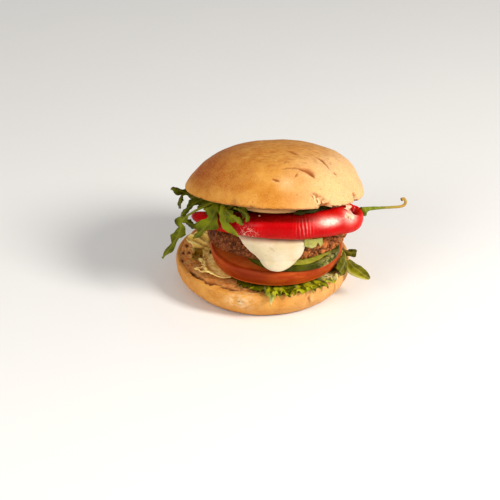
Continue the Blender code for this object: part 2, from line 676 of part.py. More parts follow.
# Leaves with a plain edge: name, midrib, way it faces and half width
PLAIN_LEAVES = (
    ("leaf_under_bun", ((16.6, -45.0, 67.2), (22.0, -43.0, 67.3), (28.0, -39.8, 66.8),
                        (33.6, -36.2, 66.2), (38.4, -32.6, 65.5)), (0.3, -1.0, 1.2), 1.3),
    ("leaf_right_round", ((45.4, 3.0, 21.2), (48.4, -2.5, 21.4), (51.4, -6.0, 21.2),
                          (54.4, -8.0, 20.8)), (0.1, -0.7, 0.8), 2.3),
    ("leaf_right_long", ((49.6, -12.4, 19.0), (52.2, -18.6, 18.4), (55.6, -22.8, 17.4),
                         (58.9, -25.8, 16.3), (61.6, -28.0, 15.4)), (0.1, -0.4, 1.0), 3.1),
    ("leaf_right_low", ((47.6, -10.5, 23.2), (47.8, -17.0, 23.0), (46.4, -24.0, 22.2),
                        (43.8, -30.2, 21.2)), (0.8, -0.6, 0.5), 2.6),
    ("leaf_scrap", ((23.9, -43.0, 47.8), (28.4, -42.0, 46.9), (32.4, -40.0, 46.4)),
     (0.3, -1.0, 0.1), 2.4),
)


def make_plain_leaves():
    green = material("plain_leaf", (0.20, 0.30, 0.03), 0.35)
    for name, spine, facing, half in PLAIN_LEAVES:
        make_leaf(name, spine, facing, plain_width(half), plain_width(half), green, stations=9)


def main():
    for obj in list(bpy.data.objects):
        bpy.data.objects.remove(obj)
    make_heel()
    make_frilled_lettuce()
    make_pale_lettuce()
    make_tomato()
    make_cucumber()
    make_patty()
    make_sauce()
    make_chili()
    make_stem()
    make_onion()
    make_rocket_heap()
    make_crown()
    make_rocket_leaves()
    make_plain_leaves()


main()
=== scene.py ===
"""The looks of a stacked burger with a whole red chili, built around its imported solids.

Sizes are in millimetres until a mesh is made. The origin is the middle of the heel's flat
underside, +Z is up and the side that shows the chili and the sauce faces -Y. Each piece stands
for the solid in the same place, with finer relief and a material of its own.
"""

import math
import random

import bpy
import numpy as np
from mathutils import Euler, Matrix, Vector, noise


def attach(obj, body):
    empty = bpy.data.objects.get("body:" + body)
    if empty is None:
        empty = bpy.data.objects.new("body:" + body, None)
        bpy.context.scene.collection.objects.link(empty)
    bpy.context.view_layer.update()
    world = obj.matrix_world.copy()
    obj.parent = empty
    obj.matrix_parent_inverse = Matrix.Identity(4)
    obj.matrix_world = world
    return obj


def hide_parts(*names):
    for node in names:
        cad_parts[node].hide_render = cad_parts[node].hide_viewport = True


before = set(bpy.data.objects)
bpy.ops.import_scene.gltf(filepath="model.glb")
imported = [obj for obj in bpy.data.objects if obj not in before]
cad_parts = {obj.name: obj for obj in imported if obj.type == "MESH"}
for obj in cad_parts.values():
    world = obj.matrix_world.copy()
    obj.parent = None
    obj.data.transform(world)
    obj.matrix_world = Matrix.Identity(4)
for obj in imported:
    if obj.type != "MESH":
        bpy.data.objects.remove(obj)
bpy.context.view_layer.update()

MM = 0.001
GAP = 0.35                      # air left between pieces that rest on each other

# Driving sizes, as in the solids
BUN_RADIUS = 52.0
HEEL_HEIGHT = 17.0
HEEL_LEAN = 1.6                 # how far its foot sits to +X of its cut face
CROWN_HEIGHT = 29.5
CROWN_CENTRE = (6.1, -4.0, 59.9)
CROWN_TILT = (-15.8, 2.1)       # degrees about X and Y: the crown leans back off the chili
CROWN_LEAN = 5.8                # how far its top sits to +X of its cut face
CROWN_SAG = 0.6                 # how far the cut face bellies down in its middle

LETTUCE_THICK = 0.8
LETTUCE_Z = HEEL_HEIGHT + GAP + 0.5 * LETTUCE_THICK + 0.15
PALE_Z = LETTUCE_Z + LETTUCE_THICK + 0.3

TOMATO_CENTRE = (7.0, -7.5)
TOMATO_RADIUS = 39.2
TOMATO_LEAN = (0.4, -0.8)       # how far its underside sits off its middle
TOMATO_BASE = PALE_Z + 0.5 * LETTUCE_THICK + GAP
TOMATO_TOP = 29.6

CUCUMBER_CENTRE = (15.9, -20.8)
CUCUMBER_RADII = (27.8, 25.0)
CUCUMBER_BASE = TOMATO_TOP + GAP
CUCUMBER_TOP = 34.2
CUCUMBER_PALE = (36.5, -35.0, 33.0)     # where its skin is streaked with white, partly as a painted highlight

PATTY_CENTRE = (8.5, -1.0)
PATTY_RADIUS = 42.0
PATTY_REST = TOMATO_TOP + GAP + 0.35    # underside where it lies on the tomato
PATTY_LIFT = CUCUMBER_TOP + GAP + 0.2 - PATTY_REST
PATTY_TOP_BACK = 46.0
PATTY_TOP_FRONT = 47.8

ONION_CENTRE = (4.6, -25.0)
ONION_RADIUS = 21.0
ONION_THICK = 3.0
ONION_SHAPE = 0.97              # its depth as a share of its width
ONION_RING = 3.4                # from one of its rings to the next
ONION_DROP = 0.9                # air between the onion and the crown above it

HEAP_CENTRE = (4.0, 6.5)        # the rocket between the patty and the crown
HEAP_RADII = (35.0, 26.5)

LEAF_SKIN = 0.45                # thickness of the leaves that show
HEAP_SKIN = 0.3                 # and of those in the heap


# Shapes

def smoothstep(x):
    """0 below 0, 1 above 1 and a smooth ramp between."""
    x = np.clip(x, 0.0, 1.0)
    return x * x * (3 - 2 * x)


def smooth_path(points, count):
    """count points along a Catmull-Rom curve through the given ones, of any dimension."""
    p = np.array(points, float)
    p = np.vstack([2 * p[0] - p[1], p, 2 * p[-1] - p[-2]])
    spans = len(p) - 3
    out = []
    for u in np.linspace(0, spans, count):
        i = min(int(u), spans - 1)
        t = u - i
        a, b, c, d = p[i:i + 4]
        out.append(0.5 * (2 * b + (c - a) * t + (2 * a - 5 * b + 4 * c - d) * t * t
                          + (3 * b - a - 3 * c + d) * t ** 3))
    return np.array(out)


def roughness(points, size, seed=0.0):
    """Smooth noise between about -1 and 1 whose bumps are about size millimetres apart."""
    shifted = np.asarray(points, float) / size + (seed, -seed, 2 * seed)
    return np.array([noise.noise(Vector(p)) for p in shifted])


def fractal(points, size, seed=0.0, octaves=4):
    """Noise with finer and finer bumps, the coarsest about size millimetres apart."""
    shifted = np.asarray(points, float) / size + (seed, -seed, 2 * seed)
    return np.array([noise.fractal(Vector(p), 0.9, 2.1, octaves) for p in shifted])


def cells(points, size, seed=0.0):
    """Distances to the nearest and the next cell point, in cell sizes, and a number per cell."""
    shifted = np.asarray(points, float) / size + (seed, -seed, 2 * seed)
    found = [noise.voronoi(Vector(p)) for p in shifted]
    near = np.array([f[0][0] for f in found])
    following = np.array([f[0][1] for f in found])
    tone = np.array([noise.cell(f[1][0] * 7.31) for f in found])
    return near, following, tone


def ragged(points, size, amount, seed=0.0):
    """The points shaken by noise, so that what is drawn near them gets an uneven edge."""
    shake = [roughness(points, size, seed + 3.7 * axis) for axis in range(3)]
    return points + amount * np.stack(shake, 1)


def along_line(points, line):
    """Distance in millimetres from each point to a line drawn through a few places, and how far
    along it the nearest place is, from 0 to 1."""
    points = np.asarray(points, float)
    line = smooth_path(line, 24)
    best = np.full(len(points), 1e9)
    along = np.zeros(len(points))
    for i, (a, b) in enumerate(zip(line[:-1], line[1:])):
        ab = b - a
        share = np.clip((points - a) @ ab / (ab @ ab), 0.0, 1.0)
        away = np.linalg.norm(points - a - share[:, None] * ab, axis=1)
        along = np.where(away < best, (i + share) / (len(line) - 1), along)
        best = np.minimum(best, away)
    return best, along


def bell(away, width):
    """1 where away is 0 and falling smoothly to 0 over about width, to both sides."""
    return np.exp(-(away / width) ** 2)


def near(points, place, radius, stretch=1.0):
    """1 at a place and falling smoothly to 0 over about radius millimetres, or further where
    stretch is below 1."""
    return bell(np.linalg.norm((points - np.array(place)) * stretch, axis=1), radius)


def triangles(faces):
    """Each face as triangles, for faces of three or four corners."""
    out = []
    for f in faces:
        out.append(f[:3])
        if len(f) == 4:
            out.append((f[0], f[2], f[3]))
    return np.array(out)


def normals(points, faces):
    """A unit normal for each point."""
    tri = triangles(faces)
    a, b, c = points[tri[:, 0]], points[tri[:, 1]], points[tri[:, 2]]
    facing = np.cross(b - a, c - a)
    out = np.zeros_like(points)
    for corner in range(3):
        np.add.at(out, tri[:, corner], facing)
    return out / np.maximum(np.linalg.norm(out, axis=1), 1e-12)[:, None]


def pushed(points, faces, amount):
    """The points moved along their normals by amount millimetres each."""
    return points + normals(points, faces) * np.asarray(amount)[:, None]


def lathe(profile, around):
    """Angle, radius and height of each point of a turned body, and its faces. profile runs
    from the bottom pole to the top pole."""
    rings = len(profile) - 2
    turn = np.linspace(0, 2 * math.pi, around, endpoint=False)
    angle = np.concatenate([[0.0], np.tile(turn, rings), [0.0]])
    inner = np.array(profile[1:-1], float)
    radius = np.concatenate([[0.0], np.repeat(inner[:, 0], around), [0.0]])
    height = np.concatenate([[profile[0][1]], np.repeat(inner[:, 1], around), [profile[-1][1]]])
    faces = []
    top = 1 + rings * around
    last = top - around
    for j in range(around):
        k = (j + 1) % around
        faces.append((0, 1 + k, 1 + j))
        faces.append((top, last + j, last + k))
        for i in range(rings - 1):
            a, b = 1 + i * around + j, 1 + i * around + k
            faces.append((a, b, b + around, a + around))
    return angle, radius, height, faces


def grid_faces(rows, columns, wrap=False):
    """Faces of a sheet whose points come row by row. wrap joins its last column to its first."""
    faces = []
    for i in range(rows - 1):
        for j in range(columns if wrap else columns - 1):
            k = (j + 1) % columns
            a, b = i * columns + j, i * columns + k
            faces.append((a, b, b + columns, a + columns))
    return faces


def add_piece(name, points, faces, look, slot, node=None, skin=0.0, **masks):
    """A smooth-shaded piece of the burger from points in millimetres. Each mask is a number for
    each point that its material reads, and one left out is 0. skin thickens a sheet."""
    mesh = bpy.data.meshes.new(name)
    mesh.from_pydata((np.asarray(points, float) * MM).tolist(), [], faces)
    for mask, values in masks.items():
        layer = mesh.attributes.new(mask, "FLOAT", "POINT")
        layer.data.foreach_set("value", np.asarray(values, np.float32))
    mesh.shade_smooth()
    mesh.materials.append(look)
    obj = bpy.data.objects.new(name, mesh)
    bpy.context.scene.collection.objects.link(obj)
    if skin:
        solid = obj.modifiers.new("Thickness", "SOLIDIFY")
        solid.thickness = skin * MM
        solid.offset = 0.0
    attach(obj, "root")
    if node:
        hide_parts(node)
    return obj


# Materials

def srgb(red, green, blue):
    """A linear colour from the 0 to 255 values of a screen colour."""
    shares = [c / 255 for c in (red, green, blue)]
    return (*(((c + 0.055) / 1.055) ** 2.4 if c > 0.04 else c / 12.92 for c in shares), 1.0)


class Look:
    """A Principled material whose colour, roughness and bump come from nodes, in millimetres."""

    def __init__(self, name, rough, coat=0.0, under=0.0, depth=1.5, specular=0.1):
        self.material = bpy.data.materials.new(name)
        self.material.use_nodes = True
        self.tree = self.material.node_tree
        self.shader = self.tree.nodes["Principled BSDF"]
        self.put("Roughness", rough)
        self.put("Coat Weight", coat)
        self.put("Coat Roughness", 0.12)
        self.put("Specular IOR Level", specular)
        self.put("Subsurface Weight", under)
        self.put("Subsurface Radius", (1.0, 0.45, 0.25))
        self.put("Subsurface Scale", depth * MM)
        self.place = self.node("TexCoord").outputs["Object"]
        self.relief = None
        self.colour = None

    def put(self, socket, value):
        self.join(self.shader.inputs[socket], value)

    def join(self, socket, value):
        if isinstance(value, bpy.types.NodeSocket):
            self.tree.links.new(value, socket)
        else:
            socket.default_value = value

    def node(self, kind, settings=(), **inputs):
        made = self.tree.nodes.new("ShaderNode" + kind)
        for key, value in dict(settings).items():
            setattr(made, key, value)
        for key, value in inputs.items():
            self.join(made.inputs[key.replace("_", " ")], value)
        return made

    def spot(self, size, stretch=(1, 1, 1)):
        scale = tuple(s / (size * MM) for s in stretch)
        return self.node("Mapping", Vector=self.place, Scale=scale).outputs[0]

    def noise(self, size, detail=3.0, rough=0.55, stretch=(1, 1, 1)):
        """Noise from 0 to 1 with bumps about size millimetres apart."""
        made = self.node("TexNoise", Vector=self.spot(size, stretch), Scale=1.0, Detail=detail,
                         Roughness=rough)
        return made.outputs["Fac"]

    def cells(self, size, feature="F1"):
        """Distance from the middle, or from the edge, of cells about size millimetres wide."""
        made = self.node("TexVoronoi", {"feature": feature}, Vector=self.spot(size), Scale=1.0)
        return made.outputs["Distance"]

    def mask(self, name):
        return self.node("Attribute", {"attribute_name": name}).outputs["Fac"]

    def grade(self, value, low, high, out_low=0.0, out_high=1.0):
        """value from low to high as out_low to out_high, held beyond both ends."""
        made = self.node("MapRange", Value=value, From_Min=low, From_Max=high, To_Min=out_low,
                         To_Max=out_high)
        return made.outputs["Result"]

    def patches(self, low, high, size, detail=3.0, rough=0.55, stretch=(1, 1, 1), least=0.0,
                most=1.0):
        """Noise of a size graded from low to high, as least to most."""
        return self.grade(self.noise(size, detail, rough, stretch), low, high, least, most)

    def within(self, name, value):
        """The value kept to where a mask is high."""
        return self.maths("MULTIPLY", value, self.mask(name))

    def maths(self, operation, a, b):
        made = self.node("Math", {"operation": operation, "use_clamp": True})
        self.join(made.inputs[0], a)
        self.join(made.inputs[1], b)
        return made.outputs[0]

    def mix(self, share, a, b):
        """Colour a where share is 0 and b where it is 1. share may be the name of a mask."""
        made = self.node("Mix", {"data_type": "RGBA"})
        self.join(made.inputs[0], self.mask(share) if isinstance(share, str) else share)
        self.join(made.inputs[6], a)
        self.join(made.inputs[7], b)
        return made.outputs[2]

    def bump(self, height, depth, strength=1.0):
        """Adds relief of about depth millimetres, over what is there already."""
        made = self.node("Bump", Strength=strength, Distance=depth * MM, Height=height)
        if self.relief:
            self.join(made.inputs["Normal"], self.relief)
        self.relief = made.outputs[0]

    def begin(self, share, first, second):
        """Two screen colours, the second by share, that the paints go over."""
        self.colour = self.mix(share, srgb(*first), srgb(*second))

    def paint(self, share, *colour):
        """A screen colour over what is there, by share."""
        self.colour = self.mix(share, self.colour, srgb(*colour))

    def done(self, rough=None):
        self.put("Base Color", self.colour)
        if rough is not None:
            self.put("Roughness", rough)
        if self.relief:
            self.put("Normal", self.relief)
        return self.material


def crust_look(name, pale, golden, brown):
    """Baked crust: golden, browner where bake is high, pale in the crumb of tears, with painted
    shade and painted highlights at creases.
    """
    look = Look(name, 0.6, under=0.05, depth=1.0)
    look.begin(look.patches(0.34, 0.68, 11.0, 5.0, 0.6), golden, pale)
    uneven = look.patches(0.35, 0.75, 6.0, 5.0, 0.65, least=-0.22, most=0.3)
    look.paint(look.maths("ADD", look.mask("bake"), uneven), *brown)
    look.paint(look.patches(0.46, 0.64, 0.7, 3.0, 0.7, most=0.5), *pale)
    look.paint(look.patches(0.54, 0.70, 0.8, 3.0, 0.75, most=0.28), *brown)
    dust = look.patches(0.40, 0.68, 1.0, 5.0, 0.75, least=0.45)
    look.paint(look.within("dust", dust), 246, 212, 164)
    look.paint(look.patches(0.66, 0.74, 1.6, 2.0, 0.6, most=0.55), *brown)
    streaks = look.patches(0.50, 0.66, 1.6, 4.0, 0.65, (0.35, 1.0, 1.0), most=0.5)
    streaks = look.within("wrinkle", streaks)
    look.paint(streaks, 170, 94, 34)
    pale_streaks = look.patches(0.56, 0.68, 1.3, 4.0, 0.65, (0.3, 1.0, 1.0), most=0.5)
    look.paint(look.within("wrinkle", pale_streaks), 236, 184, 108)
    # pale crumb in tears, and a painted highlight on the lower lips of creases
    look.paint("torn", 240, 196, 136)
    # darker along the toast's edge, and in creases, tears, cracks and holes as painted shade
    look.paint("dark", 160, 84, 28)
    # charring, and a line of painted shade along the upper edges of creases and tears
    look.paint("char", 54, 18, 6)
    # floury patches and pale crumb, and a painted highlight on the raised edges beside the heel's
    # cracks
    look.paint("flour", 244, 212, 164)
    look.bump(look.noise(0.8, 4.0, 0.65), 0.14, 0.6)
    look.bump(look.noise(3.0, 3.0), 0.35, 0.6)
    look.bump(streaks, -0.4, 0.9)
    return look.done(look.patches(0.3, 0.7, 2.2, least=0.48, most=0.68))


def toast_look():
    """The toasted cut face of the heel: mottled brown crumb with dark pits."""
    look = Look("toasted_crumb", 0.75, under=0.1)
    look.begin(look.patches(0.35, 0.65, 4.0, 4.0, 0.6), (212, 134, 62), (240, 182, 106))
    look.paint(look.patches(0.48, 0.68, 1.4, 4.0, 0.7, most=0.55), 156, 78, 32)
    look.paint("seared", 150, 76, 32)
    look.paint(look.grade(look.cells(3.1), 0.0, 0.16, 0.4, 0.0), 104, 46, 18)
    look.paint("pits", 84, 34, 12)
    look.paint("char", 46, 14, 4)
    look.bump(look.noise(1.0, 4.0, 0.7), 0.5, 0.8)
    look.bump(look.grade(look.cells(3.1), 0.0, 0.3), 0.5, 0.6)
    return look.done()


def leaf_look(name, dark, middle, light, vein):
    """A fresh leaf: patches of green, a paler midrib and veins, and a waxy face."""
    look = Look(name, 0.55, under=0.06, depth=0.6, specular=0.07)
    look.begin(look.patches(0.36, 0.64, 5.0, 4.0, 0.6), dark, middle)
    look.paint("tone", *light)
    fine = look.grade(look.cells(1.1, feature="DISTANCE_TO_EDGE"), 0.0, 0.12, 0.25, 0.0)
    look.paint(fine, *light)
    look.paint("vein", *vein)
    look.bump(look.noise(2.4, 3.0), 0.35, 0.5)
    look.bump(look.mask("vein"), 0.25, 0.5)
    return look.done(look.patches(0.3, 0.7, 3.0, least=0.34, most=0.55))


def pale_look():
    """Pale lettuce: dark olive as painted shade, golden on its folds and nearly white on its ribs.
    """
    look = Look("pale_lettuce", 0.5, under=0.1, depth=0.8, specular=0.08)
    look.begin(look.patches(0.36, 0.64, 4.0, 4.0, 0.6), (122, 84, 4), (150, 110, 20))
    look.paint("tone", 222, 182, 86)
    browned = look.mix(look.patches(0.40, 0.62, 1.6, 4.0, 0.65), srgb(142, 80, 30),
                       srgb(192, 124, 62))
    look.colour = look.mix("brown", look.colour, browned)
    look.paint("vein", 250, 226, 140)
    look.bump(look.noise(2.4, 3.0), 0.35, 0.5)
    look.bump(look.mask("vein"), 0.25, 0.5)
    return look.done(look.patches(0.3, 0.7, 3.0, least=0.40, most=0.6))


def tomato_look():
    """Brick red skin with a faint painted highlight round the side and painted shade left of its
    middle, and wet flesh on the cut faces.
    """
    look = Look("tomato", 0.45, under=0.1, depth=1.5, specular=0.08)
    look.begin(look.patches(0.35, 0.65, 3.0, 4.0, 0.6), (206, 84, 28), (222, 104, 42))
    look.paint("seeds", 206, 120, 50)
    flesh = look.colour
    look.begin(look.patches(0.35, 0.68, 9.0, 3.0, 0.5, (1, 1, 3.5)), (156, 54, 12), (188, 82, 26))
    look.paint(look.patches(0.55, 0.75, 1.2, 3.0, 0.6, most=0.25), 200, 98, 40)
    # painted shade on the side left of the middle
    look.paint("deep", 116, 30, 4)
    # a faint painted highlight near the top of the side
    look.paint("band", 200, 92, 38)
    look.colour = look.mix("cut", look.colour, flesh)
    look.bump(look.noise(4.0, 2.0), 0.3, 0.4)
    look.bump(look.noise(0.7, 2.0), 0.05, 0.4)
    return look.done(look.patches(0.3, 0.7, 5.0, least=0.32, most=0.5))


def cucumber_look():
    """Dark waxy skin with pale streaks, partly a painted highlight, and pale green flesh on the cut
    faces.
    """
    look = Look("cucumber", 0.42, under=0.08, depth=1.0, specular=0.07)
    streaks = look.patches(0.44, 0.62, 2.2, 4.0, 0.65, (0.6, 0.6, 1.0))
    look.begin(look.patches(0.35, 0.65, 3.5, 4.0), (142, 145, 34), (182, 181, 72))
    look.paint("seeds", 202, 195, 106)
    flesh = look.colour
    look.begin(look.patches(0.35, 0.65, 5.0, 4.0), (44, 47, 1), (73, 76, 2))
    look.paint(look.within("pale", streaks), 186, 180, 108)
    look.colour = look.mix("cut", look.colour, flesh)
    look.bump(look.noise(2.0, 3.0), 0.3, 0.5)
    return look.done()


def patty_look():
    """Browned minced meat: painted shade in the pits and towards the left, redder and greasy on the
    nuggets.
    """
    look = Look("browned_meat", 0.5, coat=0.03, under=0.03, specular=0.08)
    look.begin("tone", (106, 44, 10), (216, 128, 66))
    look.paint(look.patches(0.48, 0.7, 7.0, 4.0, 0.6, most=0.6), 66, 26, 8)
    look.paint(look.patches(0.50, 0.68, 0.9, 3.0, 0.7, most=0.5), 224, 152, 94)
    look.paint(look.patches(0.52, 0.66, 1.7, 4.0, 0.7, most=0.6), 62, 20, 6)
    # painted shade in the gaps between the nuggets
    look.paint("pit", 34, 10, 3)
    look.bump(look.noise(0.7, 4.0, 0.7), 0.4, 0.8)
    look.bump(look.noise(1.7, 4.0, 0.7), 0.8, 0.8)
    return look.done(look.patches(0.35, 0.65, 1.2, 3.0, least=0.35, most=0.7))


def sauce_look():
    """Thick cream sauce with a few herb and spice specks."""
    look = Look("cream_sauce", 0.38, coat=0.06, under=0.25, depth=2.0)
    look.begin(look.patches(0.35, 0.65, 9.0, 3.0), (216, 202, 174), (206, 188, 150))
    look.paint("fleck", 150, 120, 84)
    look.bump(look.noise(5.0, 3.0), 0.6, 0.4)
    look.bump(look.mask("fleck"), 0.2, 0.5)
    return look.done()


def chili_look():
    """Glossy roasted skin with painted shade on top and in its hole, painted highlights, and white
    wrinkled blisters.
    """
    look = Look("roasted_chili_skin", 0.28, coat=0.06, under=0.02, depth=0.8, specular=0.05)
    look.begin(look.patches(0.35, 0.68, 8.0, 3.0), (172, 1, 4), (196, 2, 7))
    look.paint("warm", 212, 26, 14)
    mottled = look.patches(0.38, 0.62, 1.8, 4.0, 0.7, least=0.75)
    # painted shade along the top, where the onion and the crown overhang it
    look.paint(look.within("shade", mottled), 84, 4, 1)
    lines = look.grade(look.cells(1.7, feature="DISTANCE_TO_EDGE"), 0.0, 0.10, 1.0, 0.0)
    patchy = look.patches(0.40, 0.52, 2.2, 3.0, 0.6)
    lines = look.maths("MULTIPLY", lines, patchy)
    lines = look.within("blister", lines)
    look.paint(lines, 248, 204, 184)
    # painted highlights, where that mask is high
    sheen = look.patches(0.30, 0.56, 1.3, 4.0, 0.7, (0.5, 1.0, 1.0), least=0.4)
    look.paint(look.within("sheen", sheen), 252, 206, 192)
    # painted shade inside the open hole
    look.paint("hollow", 84, 4, 3)
    look.bump(look.noise(3.0, 3.0), 0.25, 0.5)
    look.bump(look.noise(1.2, 3.0, 0.6, (1.0, 1.0, 0.3)), 0.14, 0.5)
    look.bump(lines, 0.35, 0.7)
    return look.done(look.patches(0.35, 0.7, 1.6, 4.0, least=0.18, most=0.42))


def stem_look():
    """Green by the fruit, tan and dry along the stalk and dark at its cut tip."""
    look = Look("stalk", 0.5, under=0.1)
    look.begin(look.patches(0.35, 0.65, 1.6, 4.0, 0.6, (0.4, 1.0, 1.0)), (78, 96, 12),
               (134, 142, 36))
    look.paint("dry", 180, 138, 66)
    look.paint("tip", 72, 46, 26)
    look.bump(look.noise(0.6, 3.0, 0.6, (0.3, 1.0, 1.0)), 0.15, 0.7)
    return look.done()


def onion_look():
    """Soft browned onion with rings and a paler edge."""
    look = Look("browned_onion", 0.5, under=0.15, depth=1.5)
    look.begin(look.patches(0.35, 0.65, 6.0, 4.0), (132, 74, 28), (164, 104, 50))
    look.paint("ring", 116, 62, 24)
    look.paint("edge", 206, 164, 108)
    look.bump(look.mask("ring"), 0.4, 0.7)
    look.bump(look.noise(2.0, 3.0), 0.2, 0.5)
    return look.done()


def peel_look():
    """The dry, pale skin that has lifted off round the chili's hole."""
    look = Look("lifted_peel", 0.5, under=0.2)
    look.begin(look.patches(0.35, 0.65, 1.5, 4.0, 0.6), (224, 176, 130), (248, 226, 200))
    look.paint("red", 200, 30, 22)
    look.bump(look.noise(0.8, 3.0), 0.2, 0.7)
    return look.done()


# The buns

def crown_matrix():
    tilt = Euler((math.radians(CROWN_TILT[0]), math.radians(CROWN_TILT[1]), 0.0))
    return np.array(tilt.to_matrix())


def under_crown(x, y):
    """Height of the crown's cut face over a place in the stack."""
    normal = crown_matrix()[:, 2]
    dx, dy = x - CROWN_CENTRE[0], y - CROWN_CENTRE[1]
    flat = CROWN_CENTRE[2] - (normal[0] * dx + normal[1] * dy) / normal[2]
    return flat - CROWN_SAG * np.maximum(0.0, 1 - (dx * dx + dy * dy) / BUN_RADIUS ** 2)


# The crown's outline from its cut edge up, as shares of the bun's radius and its own height
CROWN_DOME = ((0.979, 0.010), (0.996, 0.041), (0.987, 0.115), (0.960, 0.220), (0.906, 0.359),
              (0.842, 0.515), (0.738, 0.678), (0.592, 0.820), (0.394, 0.929), (0.187, 0.990))
# Creases in its crust: the line each follows, its depth and its half width
CROWN_CREASES = (
    (((9.2, -34.3, 89.2), (14.4, -33.0, 89.6), (20.3, -33.0, 89.0)), 0.5, 0.55),
    (((20.0, -33.3, 88.9), (23.2, -32.7, 88.8), (25.6, -33.8, 87.7), (27.8, -36.4, 85.8)),
     2.0, 2.0),
    (((27.0, -16.4, 90.0), (32.4, -19.9, 88.1), (36.9, -26.1, 84.7)), 1.3, 0.8),
    (((38.6, -26.0, 83.5), (40.6, -26.8, 82.2)), 1.1, 0.8),
    (((12.7, -14.2, 91.3), (16.0, -16.6, 91.3), (19.3, -19.8, 91.0)), 0.8, 0.9),
    (((4.4, -40.9, 86.8), (8.2, -42.3, 85.9)), 0.9, 0.7),
    (((17.2, -38.9, 86.8), (18.6, -36.6, 88.0)), 0.6, 0.6),
    (((-12.0, 20.0, 85.9), (-6.0, 24.0, 84.7), (2.0, 25.0, 84.1)), 0.8, 0.8),
    (((22.0, 26.0, 81.5), (27.0, 22.0, 82.1)), 0.7, 0.7),
)
# Torn places at its lower edge: the line each follows, its depth and its half width
CROWN_TEARS = (
    (((27.4, -44.9, 79.6), (30.4, -45.4, 76.0), (34.8, -45.4, 70.8)), 3.4, 3.3),
    (((50.0, -26.3, 70.4), (50.8, -26.3, 68.0), (50.6, -26.0, 65.0)), 3.6, 2.6),
    (((38.4, -42.6, 70.4), (40.0, -41.3, 68.0)), 2.6, 2.0),
    (((-43.0, 12.0, 58.0), (-44.5, 12.5, 55.0)), 1.2, 1.5),
)
CREASE_FALL = (0.0, -0.80, -0.60)       # the way down the crust at the front
CROWN_DUSTING = (12.0, -42.5, 85.0)     # a floury place on its front
CROWN_RINGS = 118
BUN_AROUND = 600                        # points round each half of the bun
# Toasted spots and specks on its front: place and radius
CROWN_SPOTS = (((-16.3, -47.4, 75.6), 1.7), ((-7.4, -51.4, 75.2), 1.2), ((7.1, -21.8, 91.5), 0.5),
               ((-18.1, -29.1, 85.6), 0.6), ((-19.4, -30.2, 84.9), 0.5))


def crown_profile(rings):
    dome = smooth_path(CROWN_DOME, rings) * (BUN_RADIUS, CROWN_HEIGHT)
    profile = [(share * BUN_RADIUS, 0.0) for share in (0.0, 0.2, 0.4, 0.6, 0.8, 0.95)]
    return profile + [tuple(p) for p in dome] + [(0.0, CROWN_HEIGHT)]


def crown_places(angle, radius, height):
    """The crown's smooth form in the stack: it leans to +X as it rises and isn't quite round."""
    rise = height / CROWN_HEIGHT
    swell = 1 + 0.004 * np.cos(2 * angle + 0.6) + 0.004 * np.sin(3 * angle)
    x = radius * swell * np.cos(angle) + CROWN_LEAN * np.maximum(0.0, rise) ** 1.5
    y = radius * swell * np.sin(angle)
    z = height - np.where(height == 0.0, CROWN_SAG * (1 - (radius / BUN_RADIUS) ** 2), 0.0)
    local = np.stack([x, y, z], 1)
    lumps = 0.55 * roughness(local, 19.0, 3.1) + 0.25 * roughness(local, 9.0, 7.7)
    local[:, 2] += lumps * (0.2 + 0.8 * smoothstep(rise * 4))
    return local @ crown_matrix().T + CROWN_CENTRE


def crease_crown(shaken, push, dark, char, torn):
    """Presses its creases in, painted dark inside and along the upper edge as shade, with a pale
    lower lip that is partly a painted highlight.
    """
    fall = np.array(CREASE_FALL)
    for line, depth, width in CROWN_CREASES:
        away, along = along_line(shaken, line)
        taper = 0.25 + 0.75 * np.sin(math.pi * np.clip(along, 0.02, 0.98)) ** 0.7
        inside = bell(away, width * taper)
        push -= depth * taper * inside
        # painted shade inside the crease, and a line of painted shade along its upper edge
        dark += min(1.0, 0.55 + 0.35 * depth) * inside
        upper, _ = along_line(shaken, np.array(line) - fall * 0.5 * width)
        char += 0.45 * min(1.0, depth) * bell(upper, 0.4) * taper
        lower, _ = along_line(shaken, np.array(line) + fall * 2.0 * width)
        lip = bell(lower, 0.9 * width) * taper
        push += 0.25 * depth * lip
        # the lower lip is painted pale, partly as a highlight
        torn += 0.45 * lip


def tear_crown(points, shaken, push, dark, char, torn, crumb):
    """Tears its lower edge open, with strips of pale crumb between gaps of painted shade and
    painted shade along each tear's upper edge.
    """
    for line, depth, width in CROWN_TEARS:
        away, along = along_line(shaken, line)
        fibres = roughness(points * (1.0, 1.0, 0.4), 1.7, 1.7)
        inside = smoothstep(1.6 - away / (width * (0.35 + 0.65 * along)))
        push -= depth * inside * (0.8 + 0.3 * fibres)
        torn += inside * smoothstep(0.65 + 2.4 * fibres)
        crumb += 0.8 * inside * smoothstep(0.3 + 2.4 * fibres)
        # painted shade in the gaps between the strands and along the tear's upper edge
        dark += inside * smoothstep(0.55 - 2.4 * fibres)
        upper, _ = along_line(points, np.array(line) - (0.7 * width, 0.0, -0.25 * width))
        char += 0.7 * bell(upper, 0.7) * inside


